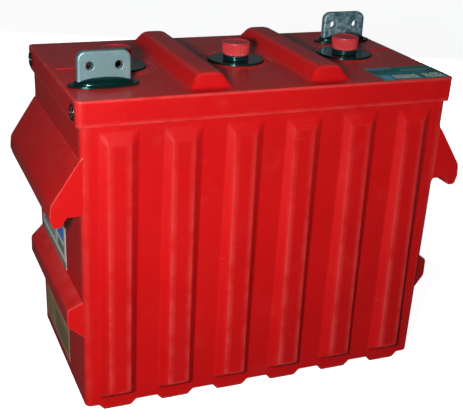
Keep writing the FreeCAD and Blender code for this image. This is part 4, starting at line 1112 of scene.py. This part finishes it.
def buildFloor():
    # A paper floor with paper walls far away all round, so that no view sees past its edge.
    size, high = studioLook["floorSize"], studioLook["wallHeight"]
    square = [(-size, -size), (size, -size), (size, size), (-size, size)]
    mesh = bpy.data.meshes.new("studioFloor")
    mesh.from_pydata([(x, y, z) for z in (0, high) for x, y in square], [],
                     [(0, 1, 2, 3), (0, 4, 5, 1), (1, 5, 6, 2), (2, 6, 7, 3), (3, 7, 4, 0)])
    floor = bpy.data.objects.new("studioFloor", mesh)
    bpy.context.scene.collection.objects.link(floor)
    material, tree, shader = newMaterial("paperSweep")
    w = Weave(tree)
    cloud = w.span(w.noise(1.5, 3), 0.3, 0.7)
    shade = w.blend(cloud, studioLook["floorColour"], studioLook["floorColourTwo"])
    w.link(shade, shader.inputs["Base Color"])
    shader.inputs["Roughness"].default_value = 0.85
    shader.inputs["Emission Color"].default_value = (1, 1, 1, 1)
    shader.inputs["Emission Strength"].default_value = studioLook["floorGlow"]
    w.link(w.bump(w.noise(300.0, 2), 0.0002, 0.3), shader.inputs["Normal"])
    mesh.materials.append(material)
    floor.visible_diffuse = False
    floor.visible_glossy = False


def areaLight(look):
    # A flat lamp at its place, turned to its target. A matt one makes no highlights.
    data = bpy.data.lights.new(look["name"], "AREA")
    data.shape = "RECTANGLE"
    data.size, data.size_y = look["size"]
    data.energy = look["power"]
    data.color = look["colour"]
    light = bpy.data.objects.new(look["name"], data)
    light.location = look["place"]
    towards = Vector(look["target"]) - Vector(look["place"])
    light.rotation_euler = towards.to_track_quat("-Z", "Y").to_euler()
    light.visible_glossy = not look.get("matt", False)
    bpy.context.scene.collection.objects.link(light)


def buildStudio():
    # Floor, air and lamps.
    buildFloor()
    world = bpy.data.worlds.new("studioAir")
    bpy.context.scene.world = world
    world.use_nodes = True
    back = world.node_tree.nodes["Background"]
    back.inputs["Color"].default_value = (*studioLook["worldColour"], 1)
    back.inputs["Strength"].default_value = studioLook["worldStrength"]
    for look in studioLights:
        areaLight(look)


def buildCamera():
    # A camera that looks along its yaw and pitch and is rolled about that line.
    yaw, pitch, roll = (math.radians(studioLook[key]) for key in ("yaw", "pitch", "roll"))
    forward = Vector((math.sin(yaw) * math.cos(pitch), math.cos(yaw) * math.cos(pitch), -math.sin(pitch)))
    right = Vector((math.cos(yaw), -math.sin(yaw), 0))
    up = right.cross(forward)
    turnedX = math.cos(roll) * right + math.sin(roll) * up
    turnedY = -math.sin(roll) * right + math.cos(roll) * up
    data = bpy.data.cameras.new("productCamera")
    data.sensor_width = studioLook["sensor"]
    data.lens = studioLook["lens"]
    data.clip_start = 0.01
    data.dof.use_dof = False
    camera = bpy.data.objects.new("productCamera", data)
    matrix = Matrix((turnedX, turnedY, -forward)).transposed().to_4x4()
    matrix.translation = Vector(studioLook["camera"]) * mm
    camera.matrix_world = matrix
    bpy.context.scene.collection.objects.link(camera)
    bpy.context.scene.camera = camera


buildStudio()
buildCamera()
bpy.context.scene.view_settings.view_transform = "Standard"
bpy.context.scene.view_settings.look = "None"
bpy.context.scene.view_settings.exposure = studioLook["exposure"]
print("studio built")
